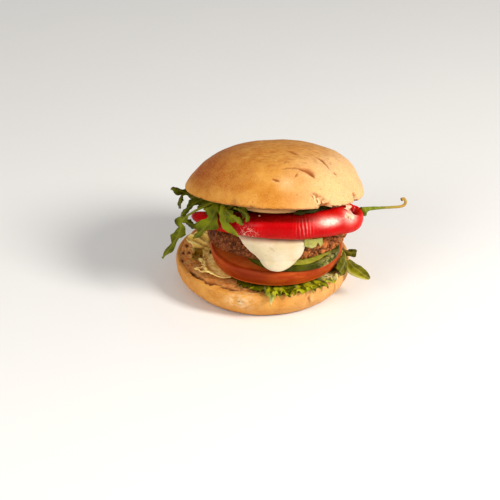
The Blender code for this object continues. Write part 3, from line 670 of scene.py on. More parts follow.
def make_crown(crust):
    angle, radius, height, faces = lathe(crown_profile(CROWN_RINGS), BUN_AROUND)
    points = crown_places(angle, radius, height)
    rise = height / CROWN_HEIGHT
    outside = smoothstep(rise / 0.03)
    shaken = ragged(points, 1.6, 0.45, 5.5)
    dark, char, torn, crumb = np.zeros((4, len(points)))
    push = 0.10 * fractal(points, 4.0, 2.2) * outside
    push -= 0.35 * (1 - outside) * np.abs(roughness(points, 2.5, 4.1))
    crease_crown(shaken, push, dark, char, torn)
    tear_crown(points, shaken, push, dark, char, torn, crumb)
    points = pushed(points, faces, push)
    x = points[:, 0]
    to_left = smoothstep((6.0 - x) / 52)
    rim = bell(height - 0.7, 0.8) * (radius > 0.9 * BUN_RADIUS)
    bake = to_left * smoothstep(rise * 2.6 - 0.1) + 0.15 * smoothstep(rise * 1.8 - 0.9)
    bake += 0.45 * rim + 0.3 * rim * roughness(points, 5.0, 9.0)
    toasted = rim * smoothstep(3 * roughness(points, 4.0, 6.6) - 0.4)
    rim_line = bell(height - 0.3, 0.7) * smoothstep((24 - np.abs(x - 1.0)) / 8)
    rim_line *= smoothstep(0.75 + 1.6 * roughness(points, 2.6, 3.9))
    toasted += rim_line * (points[:, 1] < 0) * (radius > 0.9 * BUN_RADIUS)
    for place, size in CROWN_SPOTS:
        toasted += 0.7 * near(shaken, place, size)
    wrinkle = smoothstep((rise - 0.66) / 0.15) * smoothstep((x + 26) / 22)
    dust = 0.78 * smoothstep((x - 4.0) / 38) * (1 - 0.7 * smoothstep((rise - 0.75) / 0.2))
    dust += 0.5 * near(points, CROWN_DUSTING, 4.5)
    under = (1 - outside) * (radius < 0.985 * BUN_RADIUS)
    add_piece("crown_crust", points, faces, crust, "crown_crust", "bun_top", bake=bake,
              dark=np.clip(dark, 0, 1), torn=np.clip(torn + 0.7 * under, 0, 1),
              char=np.clip(char + 0.55 * toasted, 0, 1), dust=np.clip(dust, 0, 1),
              flour=np.clip(crumb, 0, 1), wrinkle=wrinkle)


CRUMB = ((-2.7, -41.6, 64.0), 0.6)      # place and radius of the crumb that lies on the chili


def make_crumb(crust):
    place, size = CRUMB
    turn = np.linspace(-0.5 * math.pi, 0.5 * math.pi, 12)
    profile = list(zip(size * np.cos(turn), size * np.sin(turn)))
    angle, radius, height, faces = lathe(profile, 18)
    ball = np.stack([radius * np.cos(angle), radius * np.sin(angle), 0.7 * height], 1)
    points = pushed(ball, faces, 0.25 * roughness(ball, 0.7, 5.0)) + place
    add_piece("bread_crumb", points, faces, crust, "crown_crust", torn=np.full(len(points), 0.8))


# The heel's outline from its foot up, as shares of the bun's radius and its own height
HEEL_SIDE = ((0.819, 0.0), (0.858, 0.047), (0.900, 0.176), (0.950, 0.353), (0.981, 0.541),
             (0.988, 0.729), (0.983, 0.906), (0.975, 0.976))
# Vertical pinches in the heel's side: angle in degrees, depth and half width
HEEL_PINCHES = ((-60.0, 0.9, 2.2), (-40.0, 1.3, 2.6), (-108.0, 0.8, 3.0), (-20.0, 0.7, 2.4),
                (60.0, 0.8, 3.0), (150.0, 0.7, 2.6))
# How far the toasted cut face reaches: angle in degrees and radius
TOAST_REACH = ((-180, 49.2), (-150, 48.1), (-136, 47.2), (-126, 45.4), (-104, 46.0), (-88, 46.4),
               (-60, 47.6), (0, 48.8), (90, 49.0), (180, 49.2))
SLIT_HEIGHT = 16.9
# Charred slits along its rim: the line each follows at that height, and its half width
HEEL_SLITS = (
    (((-42.2, -22.4), (-39.0, -27.2), (-36.0, -30.8), (-33.8, -33.0)), 1.5),
    (((-33.0, -34.4), (-29.8, -35.8), (-25.6, -37.2)), 2.3),
    (((-23.8, -39.4), (-18.4, -42.2), (-13.4, -44.0)), 1.6),
    (((-10.9, -44.8), (-3.0, -46.2), (3.0, -46.6)), 0.7),
    (((20.0, 43.0), (10.0, 46.2), (2.0, 46.9)), 1.3),
)
# Fine vertical cracks in its side
HEEL_CRACKS = (
    ((25.4, -44.9, 15.0), (25.9, -43.9, 11.5), (26.6, -42.0, 6.0)),
    ((41.8, -29.8, 13.6), (41.2, -29.2, 9.5), (40.4, -28.6, 6.0)),
    ((-17.8, -46.6, 14.6), (-16.2, -46.4, 11.4)),
    ((-12.0, -49.0, 12.6), (-8.0, -49.2, 13.6)),
    ((24.0, 43.5, 14.0), (23.0, 43.0, 8.0)),
)
# Dark pits in the toasted face
TOAST_PITS = ((-45.8, 10.0), (-47.6, 1.4), (-44.2, 1.5), (-48.0, -8.6), (-30.0, 36.0),
              (12.0, 46.0), (38.0, 27.0))
PIT_RADIUS = 1.0
PIT_STRETCH = (1.0, 0.6)        # they're longer in Y
FLOUR_SPOT = (-13.7, -49.0, 12.1)       # a floury patch on its side, round a small hole


def heel_places(angle, radius, height):
    swell = 1 + 0.003 * np.cos(2 * angle - 0.4) + 0.003 * np.sin(3 * angle + 1.0)
    radius = radius * swell
    side = smoothstep((radius - 46.0) / 4.0)
    for degrees, depth, width in HEEL_PINCHES:
        turn = np.remainder(angle - math.radians(degrees) + math.pi, 2 * math.pi) - math.pi
        radius = radius - depth * side * bell(turn * BUN_RADIUS, width)
    points = np.stack([radius * np.cos(angle), radius * np.sin(angle), height], 1)
    swelling = np.where((height > 0) & (height < HEEL_HEIGHT - 2.0), 0.4, 0.0)
    radius = radius + swelling * roughness(points, 12.0, 5.0)
    level = np.where(height >= HEEL_HEIGHT - 2.0, 0.12 * roughness(points * (1, 1, 0), 9.0, 1.3)
                     - 0.15, 0.0)
    x = radius * np.cos(angle) + HEEL_LEAN * (0.5 - height / HEEL_HEIGHT)
    return np.stack([x, radius * np.sin(angle), height + level], 1)


def slit_heel(points, shaken, push, char):
    """Presses in the charred slits along its rim."""
    uneven = roughness(points, 2.2, 7.1)
    for places, half in HEEL_SLITS:
        line = [(x, y, SLIT_HEIGHT) for x, y in places]
        away, along = along_line(shaken, line)
        taper = 0.35 + 0.65 * np.sin(math.pi * np.clip(along + 0.15, 0, 1))
        inside = np.exp(-(away / (half * taper * (1 + 0.5 * uneven))) ** 4)
        push -= 1.8 * taper * inside
        char += 0.72 * inside
        below, _ = along_line(shaken, np.array(line) + (0.0, -2.2, 0.0))
        push += 0.12 * bell(below, 0.9)


def crack_heel(shaken, push, dark, flour):
    """Opens the fine cracks, painted dark inside as shade, each with a raised edge beside it that
    is painted pale as a highlight.
    """
    for line in HEEL_CRACKS:
        away, along = along_line(shaken, line)
        taper = np.sin(math.pi * np.clip(along, 0.05, 0.95))
        push -= 0.9 * taper * bell(away, 0.7)
        # painted shade inside the crack, and a painted highlight on the raised edge beside it
        dark += taper * bell(away, 0.5)
        beside, _ = along_line(shaken, np.array(line) + (1.3, 0.3, 0.0))
        push += 0.45 * taper * bell(beside, 0.9)
        flour += 0.5 * taper * bell(beside, 0.8)


def spot_heel(points, shaken, push, char, dark, flour):
    """Dusts the floury patch and opens its small hole, with painted shade inside the hole."""
    hole = near(shaken, FLOUR_SPOT, 1.0, (0.55, 1.0, 1.2))
    # painted shade inside the small hole
    char += 0.6 * hole
    push -= 1.0 * hole
    patch = near(points, FLOUR_SPOT, 4.4, (0.5, 1.0, 1.0))
    streaky = roughness(points * (0.8, 1.0, 1.6), 2.4, 4.9) + 0.5 * roughness(points, 1.0, 2.9)
    flour += 0.95 * patch * smoothstep(0.5 + 0.8 * streaky)
    dark += 1.1 * hole


def make_heel(crust, toast):
    side = smooth_path(HEEL_SIDE, 44) * (BUN_RADIUS, HEEL_HEIGHT)
    profile = [(0.0, 0.0), (0.4 * BUN_RADIUS, 0.0)] + [tuple(p) for p in side]
    shares = list(np.linspace(0.965, 0.80, 26)) + [0.75, 0.7, 0.6, 0.45, 0.3, 0.15, 0.0]
    profile += [(share * BUN_RADIUS, HEEL_HEIGHT) for share in shares]
    angle, radius, height, faces = lathe(profile, BUN_AROUND)
    points = heel_places(angle, radius, height)
    degrees = np.degrees(angle)
    degrees = np.where(degrees > 180, degrees - 360, degrees)
    reach = np.interp(degrees, *zip(*TOAST_REACH)) + 0.5 * roughness(points, 4.0, 3.3)
    on_top = height >= HEEL_HEIGHT - 0.5
    toasted = np.where(on_top, smoothstep((reach - radius) / 0.9), 0.0)
    shaken = ragged(points, 1.8, 0.4, 2.8)
    push = 0.12 * fractal(points, 4.0, 6.2) * (height > 0.5)
    push -= toasted * (0.25 + 0.4 * np.abs(roughness(points, 2.2, 8.4)))
    char, flour = np.zeros((2, len(points)))
    slit_heel(points, shaken, push, char)
    dark = 0.3 * bell(reach - radius, 0.8) * on_top
    crack_heel(shaken, push, dark, flour)
    spot_heel(points, shaken, push, char, dark, flour)
    pits = np.zeros(len(points))
    torn_edge = ragged(points, 1.3, 0.9, 6.4)[:, :2]
    for place in TOAST_PITS:
        pits += near(torn_edge, place, PIT_RADIUS, PIT_STRETCH)
    pits *= 1.3 * on_top
    push -= 0.6 * np.minimum(pits, 1.0)
    foot = bell(height - 0.5, 1.1) * (radius > 40)
    points = pushed(points, faces, push)
    points[:, 2] = np.maximum(points[:, 2], 0.0)
    bake = 0.1 + 0.6 * foot + 0.25 * smoothstep((-5.0 - points[:, 0]) / 45)
    scorched = bell(height - 0.2, 0.5) * (radius > 40)
    seared = bell(reach - radius, 3.0) * smoothstep((20 - points[:, 1]) / 40)
    dust = 0.25 * smoothstep((points[:, 0] - 2.0) / 30)
    obj = add_piece("heel_crust", points, faces, crust, "heel_crust", "bun_bottom", bake=bake,
                    dark=np.clip(dark, 0, 1), char=np.clip(char + 0.6 * scorched, 0, 1),
                    dust=dust, flour=np.clip(flour, 0, 1), seared=0.55 * seared,
                    pits=np.clip(pits, 0, 1))
    obj.data.materials.append(toast)
    for face in obj.data.polygons:
        if toasted[list(face.vertices)].mean() > 0.5:
            face.material_index = 1


# The layers between the buns

def outside_tomato(x, y):
    """How far a place lies outside the tomato slice's widest outline."""
    return np.hypot(x - TOMATO_CENTRE[0], y - TOMATO_CENTRE[1]) - TOMATO_RADIUS - 0.6


# How far the frilled leaf reaches from the middle of the heel: degrees and millimetres
FRILL_REACH = ((-135, 32.0), (-120, 36.0), (-110, 41.5), (-98, 46.0), (-90, 47.5), (-86, 52.0),
               (-70, 53.2), (-50, 53.6), (-38, 52.8), (-27, 50.6), (-20, 46.5), (-5, 44.0),
               (30, 45.0), (105, 43.0), (130, 34.0), (150, 30.0), (225, 30.0))
# Teeth of its edge: degrees, extra length, half width in degrees and how blunt each is
FRILL_TEETH = ((-86, 6.2, 3.6, 6), (-74, 2.6, 1.6, 2), (-65, 2.4, 1.8, 2), (-53, 1.6, 2.0, 2),
               (-40, 3.0, 2.0, 2), (-28, 1.6, 2.4, 2))
FRILL_TOOTH = 4.6               # degrees from one fine tooth to the next
FRILL_HANG = 50.0               # how far out it bends down over the heel's edge
WHITE_RIB = (27.4, -28.8, 18.6)         # the end of a rib beside the tomato, with X drawn in
PALE_TIP = (2.2, -54.2, 14.6)           # the end of its longest tooth


def frill_places(degrees, share):
    """Lies flat under the tomato, ruffles where it's free and hangs over the heel's edge."""
    reach = np.interp(degrees, *zip(*FRILL_REACH))
    for middle, extra, width, blunt in FRILL_TEETH:
        reach = reach + extra * np.exp(-np.abs((degrees - middle) / width) ** blunt)
    place = np.stack([degrees, 0 * degrees, 0 * degrees], 1)
    uneven = roughness(place, 4.0, 8.3) + roughness(place, 9.0, 2.3)
    tooth = 1 - np.abs(2 * np.remainder(degrees / FRILL_TOOTH + 0.9 * uneven, 1.0) - 1)
    cut = (3.4 + 1.6 * uneven) * tooth ** 1.5 - 1.8
    reach = reach + 0.6 * np.sin(np.radians(29 * degrees)) + share * cut
    along = share * reach
    angle = np.radians(degrees)
    over = np.maximum(0.0, along - FRILL_HANG)
    radius = along - over + 5.0 * (1 - np.exp(-over / 3.6))
    x, y = radius * np.cos(angle), radius * np.sin(angle)
    free = np.maximum(0.0, outside_tomato(x, y))
    height = np.minimum(3.6, 0.8 * free) * (1 - 0.6 * smoothstep(over / 3.0))
    coarse = 0.5 + 0.5 * np.sin(np.radians(17 * degrees + 40))
    fine = 0.5 + 0.5 * np.sin(np.radians(41 * degrees + 10) + 1.2 * uneven)
    curl = 0.5 + 0.5 * np.sin(np.radians(67 * degrees) + 4.0 * uneven + 11.0 * share)
    wave = 0.25 * coarse + 0.30 * fine + 0.45 * curl
    z = LETTUCE_Z + height * wave * smoothstep(free / 1.5)
    z = z + 0.4 * bell(degrees + 88, 4.0) - 1.1 * (over - (radius - along + over))
    points = np.stack([x, y, z], 1)
    crumple = 1.3 * roughness(points, 2.6, 3.9) + 0.4 * roughness(points, 1.1, 5.1)
    points[:, 2] += crumple * smoothstep(free / 2.5)
    outward = 1.2 * np.sin(np.radians(67 * degrees + 70) + 3.0 * uneven) * smoothstep(free / 3.0)
    points[:, 0] += outward * np.cos(angle)
    points[:, 1] += outward * np.sin(angle)
    return points, free, wave


def make_frilled_lettuce(green):
    degrees = np.concatenate([np.linspace(-135, -5, 700), np.linspace(-5, 225, 300)[1:-1]])
    shares = np.concatenate([[0.3, 0.6], np.linspace(0.74, 1.0, 34)])
    around, out = np.meshgrid(degrees, shares)
    around, out = around.ravel(), out.ravel()
    points, free, wave = frill_places(around, out)
    rows, columns = len(shares), len(degrees)
    faces = grid_faces(rows, columns, wrap=True)
    faces += [(len(points), (j + 1) % columns, j) for j in range(columns)]
    middle = points[:columns].mean(axis=0)
    points = np.vstack([points, middle])
    free, wave = np.append(free, 0.0), np.append(wave, 0.5)
    around, out = np.append(around, 0.0), np.append(out, 0.0)
    ribs = bell(np.remainder(around + 3, 11.5) - 5.75, 0.6) * (1 - out) * 3
    white_rib = 1.4 * near(points * (0.7, 1, 1), WHITE_RIB, 4.6)
    white_rib *= smoothstep(0.6 + 1.5 * roughness(points * (1, 1, 0.3), 1.4, 7.0))
    pale_tip = near(points, PALE_TIP, 3.0)
    # painted light and shade: lighter on the crests of the ruffles and darker in their troughs,
    # lighter to the right and darker to the left, over uneven patches
    tone = 1.6 * (wave - 0.45) + 1.6 * roughness(points, 2.6, 3.9) + 0.25 * (out > 0.96)
    tone += 0.30 * smoothstep((points[:, 0] + 5) / 20) - 0.9 * smoothstep(-points[:, 0] / 4)
    add_piece("frilled_lettuce", points, faces, green, "lettuce_green", "lettuce_frilled",
              LEAF_SKIN, tone=np.clip(tone, 0, 1),
              vein=np.clip(ribs * 0.4 + white_rib + pale_tip, 0, 1))


# The two pieces of pale lettuce at the left, as degrees and reach about the tomato's middle
PALE_BACK_REACH = ((146, 46.0), (155, 53.0), (163, 56.5), (168, 51.0), (176, 49.5))
PALE_FRONT_REACH = ((170, 49.0), (184, 50.0), (189, 49.6), (191.5, 45.4), (196, 44.4), (200, 45.4),
                    (202, 51.4), (203.5, 50.2), (208, 46.4), (214, 43.6), (219, 41.0), (224, 36.5))
PALE_WIDTH = 3.6                # how much of them is white next to the tomato
PALE_WIDER = 3.0                # how much more than that towards the front
OLIVE_PATCH = (-39.5, -5.0, 0.0)        # where they're neither white nor browned but keep a dark olive, as painted shade
PALE_UPRIGHT = 172.0            # degrees before which the back one's rim stands up
PALE_TUCK = 178.5               # degrees before which the front one dips under the back one
PALE_LIP = 199.0                # degrees past which the front one's rim curls up


def pale_leaf(name, node, reach, inner, rise, lip, seed, look):
    """A crumpled sheet that fans out from under the tomato. rise is how far its rim stands up
    at the back end, lip how far the rim curls up at the front end."""
    rows, columns = 60, 150
    degrees = np.tile(np.linspace(reach[0][0], reach[-1][0], columns), rows)
    out = np.repeat(np.linspace(0.0, 1.0, rows), columns)
    lower = smoothstep((degrees - PALE_LIP) / 2)
    frayed = 0.9 * np.abs(np.sin(np.radians(degrees * 37))) * out * (1 - lower)
    rim = np.interp(degrees, *zip(*reach))
    radius = inner + out * (rim - inner) - frayed
    to_rim = rim - radius
    x = TOMATO_CENTRE[0] + radius * np.cos(np.radians(degrees))
    y = TOMATO_CENTRE[1] + radius * np.sin(np.radians(degrees))
    flat = np.stack([x, y, np.zeros_like(x)], 1)
    beyond = outside_tomato(x, y)
    free = smoothstep(beyond / 4.0)
    crumple = np.maximum(0.0, 0.5 + 0.9 * roughness(flat, 6.0, seed))
    bent = roughness(flat, 6.0, seed + 4.0)
    fan = np.sin(np.radians(degrees * 52) + 2.5 * bent + 0.12 * beyond)
    ruck = roughness(np.stack([beyond / 2.4, degrees / 13.0, 0 * x], 1), 1.0, seed + 7.0)
    ruck += 0.5 * roughness(flat, 2.6, seed + 1.0)
    folds = 0.5 + 0.5 * fan if rise else np.clip(1.1 - 2.4 * np.abs(ruck), 0.0, 1.0)
    curl = lip * smoothstep((2.8 - to_rim) / 1.8) * lower
    stand = rise * out * smoothstep((PALE_UPRIGHT - degrees) / 14)
    fine = 0.25 * roughness(flat, 1.8, seed + 3.0)
    tucked = 1.5 * smoothstep((PALE_TUCK - degrees) / 2.5) if lip else 0.0
    z = PALE_Z + free * (1.2 * crumple + curl + stand + 0.9 * folds + fine - 0.3 - tucked)
    points = np.stack([x, y, z], 1)
    edge = smoothstep((2.1 - to_rim) / 0.7) * (0.62 * lower if lip else 0.3)
    white_band = PALE_WIDTH + PALE_WIDER * smoothstep((-10.0 - y) / 5.0)
    beside_tomato = smoothstep((white_band - beyond + 1.5 * bent) / 1.6)
    white = np.maximum(beside_tomato, smoothstep((y - 1.0 + 3.0 * bent) / 3.0))
    # the olive patch keeps the dark olive base as painted shade
    olive = near(flat, OLIVE_PATCH, 9.8)
    brown = (1 - white) * smoothstep((0.5 - olive) / 0.2 + 0.12 * bent)
    vein = white * (0.8 * folds ** 3 + (0.0 if rise else 0.5) * folds) + edge
    tone = white * (0.9 + 0.6 * folds + 0.5 * roughness(flat, 2.6, seed + 5.0))
    add_piece(name, points, grid_faces(rows, columns), look, "lettuce_pale", node, LEAF_SKIN,
              tone=np.clip(tone, 0, 1), vein=np.clip(vein, 0, 1), brown=np.clip(brown, 0, 1))


def make_pale_lettuce(pale):
    pale_leaf("pale_lettuce_back", "lettuce_pale_back", PALE_BACK_REACH, 34.0, 3.2, 0.0, 2.4,
              pale)
    pale_leaf("pale_lettuce_front", "lettuce_pale_front", PALE_FRONT_REACH, 31.0, 0.0, 1.1, 6.1,
              pale)


def make_tomato(red):
    wide, low, high = TOMATO_RADIUS, TOMATO_BASE, TOMATO_TOP
    side = [(wide - 4.4, low), (wide - 2.9, low + 0.5), (wide - 1.6, low + 2.6),
            (wide - 0.5, low + 5.6), (wide - 0.3, high - 1.6), (wide - 0.9, high - 0.3),
            (wide - 2.0, high)]
    inner = [(share * wide, low) for share in (0.0, 0.3, 0.6, 0.8)]
    outer = [(share * wide, high) for share in (0.9, 0.8, 0.7, 0.6, 0.45, 0.3, 0.15, 0.0)]
    profile = inner + [tuple(p) for p in smooth_path(side, 34)] + outer
    angle, radius, height, faces = lathe(profile, 200)
    rise = (height - low) / (high - low)
    swell = 1 + 0.008 * np.cos(3 * angle + 0.5) + 0.005 * np.cos(5 * angle)
    x = TOMATO_CENTRE[0] + radius * swell * np.cos(angle) + TOMATO_LEAN[0] * (1 - rise)
    y = TOMATO_CENTRE[1] + radius * swell * np.sin(angle) + TOMATO_LEAN[1] * (1 - rise)
    points = np.stack([x, y, height], 1)
    points = pushed(points, faces, 0.12 * roughness(points, 9.0, 1.1))
    cut = smoothstep((wide - 1.9 - radius) / 0.5)
    lobes = np.cos(5 * angle + 0.7) ** 2
    seeds = cut * bell(radius / wide - 0.55, 0.22) * smoothstep((lobes - 0.3) / 0.3)
    # a faint painted highlight near the top of the side, and painted shade on the side left of the
    # middle
    band = 0.1 * bell(rise - 0.86, 0.07) * (cut < 0.5)
    add_piece("tomato_slice_skin", points, faces, red, "tomato_flesh", "tomato_slice", cut=cut,
              seeds=seeds, band=band, deep=0.75 * bell(points[:, 0] + 9.0, 15))


def make_cucumber(green):
    low, high = CUCUMBER_BASE, CUCUMBER_TOP
    side = [(0.975, low), (0.998, low + 0.7), (1.0, high - 1.2), (0.992, high - 0.3),
            (0.965, high)]
    profile = [(0.0, low), (0.5, low), (0.9, low)] + [tuple(p) for p in smooth_path(side, 22)]
    profile += [(share, high) for share in np.linspace(0.95, 0.82, 12)]
    profile += [(0.7, high), (0.5, high), (0.3, high), (0.0, high)]
    angle, share, height, faces = lathe(profile, 220)
    lobe = 1 + 0.006 * np.cos(6 * angle)
    points = np.stack([CUCUMBER_CENTRE[0] + CUCUMBER_RADII[0] * share * lobe * np.cos(angle),
                       CUCUMBER_CENTRE[1] + CUCUMBER_RADII[1] * share * lobe * np.sin(angle),
                       height], 1)
    points = pushed(points, faces, 0.08 * roughness(points, 3.0, 2.1))
    to_right = smoothstep((points[:, 0] - 24.0) / 12) * (points[:, 1] < 0)
    cut = smoothstep((0.975 - 0.10 * to_right - share) / 0.012)
    seeds = cut * smoothstep((0.62 - share) / 0.1)
    # the pale streaks are strongest here, where they are partly a painted highlight
    pale = near(points, CUCUMBER_PALE, 7.5)
    add_piece("cucumber_slice_skin", points, faces, green, "cucumber_skin", "cucumber_slice",
              cut=cut, seeds=seeds, pale=0.05 + 0.75 * pale)


def cucumber_under(x, y):
    """1 where the patty lies on the cucumber slice, 0 well away from it."""
    share = np.hypot((x - CUCUMBER_CENTRE[0]) / CUCUMBER_RADII[0],
                     (y - CUCUMBER_CENTRE[1]) / CUCUMBER_RADII[1])
    return 1 - smoothstep((share - 1.25) / 0.60)


def patty_top(y):
    return PATTY_TOP_BACK + (PATTY_TOP_FRONT - PATTY_TOP_BACK) * smoothstep((22 - y) / 44)


def make_patty(meat):
    wide = PATTY_RADIUS
    edge = [(wide - 3.0, 0.0), (wide - 1.2, 0.03), (wide - 0.3, 0.14), (wide, 0.38),
            (wide - 0.2, 0.62), (wide - 1.4, 0.80), (wide - 3.4, 0.93), (wide - 6.0, 1.0)]
    profile = [(0.0, 0.0), (0.4 * wide, 0.0), (0.7 * wide, 0.0)]
    profile += [tuple(p) for p in smooth_path(edge, 64)]
    profile += [(share * wide, 1.0) for share in (0.83, 0.8, 0.75, 0.7, 0.6, 0.4, 0.2, 0.0)]
    angle, radius, share, faces = lathe(profile, 640)
    swell = 1 + 0.006 * np.cos(3 * angle + 1.1) + 0.005 * np.sin(5 * angle)
    x = PATTY_CENTRE[0] + radius * swell * np.cos(angle)
    y = PATTY_CENTRE[1] + radius * swell * np.sin(angle)
    base = PATTY_REST + PATTY_LIFT * cucumber_under(x, y)
    points = np.stack([x, y, base + share * (patty_top(y) - base)], 1)
    free = smoothstep((radius - 30) / 8)
    shaken = ragged(points, 1.6, 0.5, 4.0)
    nugget, gap, tone = cells(shaken, 3.0, 1.5)
    small, small_gap, small_tone = cells(shaken, 1.5, 3.5)
    pit = smoothstep(1 - (gap - nugget) / 0.30) * smoothstep(0.7 + 2 * roughness(points, 4.0, 6.0))
    small_pit = smoothstep(1 - (small_gap - small) / 0.25)
    coarse = 0.55 - cells(points * (1.0, 1.0, 1.3), 6.5)[0]
    push = 0.7 * coarse + 0.5 * (0.5 - nugget) - 0.9 * pit - 0.3 * small_pit
    push += 0.3 * roughness(points, 1.2, 2.9) + 0.15
    points = pushed(points, faces, push * free - 0.3 * (1 - free))
    # painted shade: its tone darkens towards the left, away from the light
    to_right = smoothstep((points[:, 0] + 2.0) / 34)
    shade = 0.5 + 0.3 * tone + 0.3 * small_tone + 0.35 * roughness(points, 1.4, 7.7)
    # the pit mask paints shade into the gaps between the nuggets
    add_piece("minced_patty", points, faces, meat, "patty_meat", "patty",
              pit=np.clip(0.8 * pit + 0.25 * small_pit - 0.1, 0, 1),
              tone=np.clip(shade * (0.22 + 0.98 * to_right), 0, 1))


# Sauce tongue: distance from the patty's axis and height of its back, then middle and half width
# across the front, and thickness, from under the chili down to the drip
SAUCE_RUN = (
    (27.0, 48.5, 4.0, 14.0, 0.8),
    (34.0, 48.5, 4.0, 18.6, 0.9),
    (40.0, 48.4, 4.2, 19.6, 1.1),
    (43.1, 46.9, 5.3, 18.6, 2.2),
    (43.4, 44.6, 5.9, 17.2, 2.8),
    (43.5, 41.9, 6.9, 15.5, 3.1),
    (43.6, 39.3, 8.0, 13.2, 3.3),
    (44.0, 37.0, 8.2, 11.0, 3.4),
    (45.6, 35.0, 7.7, 8.8, 3.2),
    (46.5, 33.3, 7.4, 6.2, 2.6),
    (46.6, 32.3, 7.7, 2.8, 1.8),
)
# Specks in the sauce: place and radius
SAUCE_FLECKS = (
    ((3.3, -46.9, 46.1), 0.35), ((4.4, -47.2, 45.4), 0.45), ((5.6, -47.4, 44.6), 0.3),
    ((2.6, -46.8, 44.4), 0.25), ((10.6, -46.6, 48.2), 0.22), ((-3.6, -44.8, 47.9), 0.35),
    ((6.8, -47.6, 46.2), 0.2), ((1.0, -46.8, 41.5), 0.2), ((-8.6, -44.0, 44.6), 0.22),
)


def make_sauce(cream):
    run = smooth_path(SAUCE_RUN, 90)
    columns = 64
    slope = np.gradient(run[:, :2], axis=0)
    slope /= np.linalg.norm(slope, axis=1)[:, None]
    back, front = [], []
    for (reach, height, middle, half, thick), (d_out, d_up) in zip(run, slope):
        for across in np.sin(np.linspace(-0.5, 0.5, columns) * math.pi):
            x = middle + half * across
            bulge = thick * (0.16 + 0.84 * math.sqrt(max(0.0, 1 - across * across)))
            for out, push in ((back, 0.0), (front, bulge)):
                r = reach - d_up * push
                z = height + d_out * push
                dx = min(x - PATTY_CENTRE[0], r)
                out.append((x, PATTY_CENTRE[1] - math.sqrt(r * r - dx * dx), z))
    rows, count = len(run), len(back)
    faces = grid_faces(rows, columns)
    faces += [tuple(q + count for q in reversed(f)) for f in faces]
    rim = list(range(columns))
    rim += [i * columns + columns - 1 for i in range(1, rows)]
    rim += [(rows - 1) * columns + j for j in range(columns - 2, -1, -1)]
    rim += [i * columns for i in range(rows - 2, 0, -1)]
    for a, b in zip(rim, rim[1:] + rim[:1]):
        faces.append((b, a, a + count, b + count))
    points = np.array(back + front)
    points = pushed(points, faces, 0.22 * roughness(points, 5.0, 2.7))
    fleck = np.zeros(len(points))
    for place, size in SAUCE_FLECKS:
        fleck += near(points, place, size * 1.3)
    add_piece("sauce_tongue", points, faces, cream, "sauce", "sauce", fleck=np.clip(fleck, 0, 1))


# The chili: centre line and radius from its tip at the left to its shoulder at the right
CHILI_LINE = (
    (-41.0, -19.5, 52.4, 1.4),
    (-38.8, -21.0, 52.6, 3.0),
    (-34.0, -24.5, 53.2, 4.2),
    (-27.0, -29.0, 54.3, 5.2),
    (-13.0, -36.5, 56.1, 6.6),
    (2.0, -40.5, 57.3, 7.4),
    (18.0, -41.6, 57.5, 7.6),
    (33.0, -38.2, 57.2, 7.7),
    (44.5, -31.7, 56.3, 8.2),
    (50.2, -27.7, 55.9, 7.9),
    (53.4, -25.4, 56.2, 5.6),
)
CHILI_HOLE = (51.6, -30.6, 62.8)        # where the roasted skin has torn open
CHILI_BLISTER = (-9.0, -44.6, 53.6)
CHILI_SHOULDER = (46.5, -31.5, 56.3)    # the middle of the fruit behind the hole
# Places where highlights are painted on the chili's front: beside the hole, at its end and over the
# ribs
CHILI_SHEEN = (37.8, -43.8, 61.2)       # the highlight painted beside the hole
CHILI_SHEEN_END = (48.8, -36.6, 61.0)
CHILI_SHEEN_RIBBED = (23.0, -48.2, 59.4)
# Curled scraps of lifted skin round the hole: centre, direction out, length, width and how red
PEEL_SCRAPS = (
    ((48.2, -32.2, 64.2), (-0.75, 0.35, 0.55), 3.8, 6.0, 0.1),
    ((44.8, -36.4, 62.9), (-0.80, -0.55, 0.05), 6.6, 6.4, 0.0),
    ((48.6, -36.6, 61.9), (-0.30, -0.80, -0.30), 3.8, 5.2, 0.1),
)
# The stem's centre line and radius from the fruit to its cut tip
STEM_LINE = (
    (56.5, -23.9, 57.4, 2.6),
    (57.7, -22.9, 57.8, 2.0),
    (60.0, -21.4, 57.9, 1.25),
    (63.5, -19.2, 57.1, 1.0),
    (68.0, -16.5, 56.0, 0.8),
    (73.5, -13.8, 54.9, 0.75),
    (78.4, -11.7, 54.2, 0.8),
    (81.2, -10.6, 54.6, 0.85),
    (82.1, -10.1, 56.6, 0.85),
    (81.0, -10.0, 58.5, 0.8),
    (79.6, -10.0, 57.9, 0.8),
)


def tube(line, stations, around):
    """Points, faces, share along and angle round of a round body that follows (x, y, z, radius)."""
    path = smooth_path(line, stations)
    centre, radius = path[:, :3], path[:, 3]
    ahead = np.gradient(centre, axis=0)
    ahead /= np.linalg.norm(ahead, axis=1)[:, None]
    points = [centre[0] - ahead[0] * 0.5 * radius[0]]
    for c, a, r in zip(centre, ahead, radius):
        side = np.cross(a, (0.0, 0.0, 1.0))
        side /= np.linalg.norm(side)
        up = np.cross(side, a)
        for turn in np.linspace(0, 2 * math.pi, around, endpoint=False):
            points.append(c + r * (math.cos(turn) * side + math.sin(turn) * up))
    points.append(centre[-1] + ahead[-1] * 0.35 * radius[-1])
    faces = [tuple(reversed(f)) for f in lathe([(0, 0)] * (stations + 2), around)[3]]
    along = np.concatenate([[0.0], np.repeat(np.linspace(0, 1, stations), around), [1.0]])
    turn = np.tile(np.linspace(0, 2 * math.pi, around, endpoint=False), stations)
    return np.array(points), faces, along, np.concatenate([[0.0], turn, [0.0]])


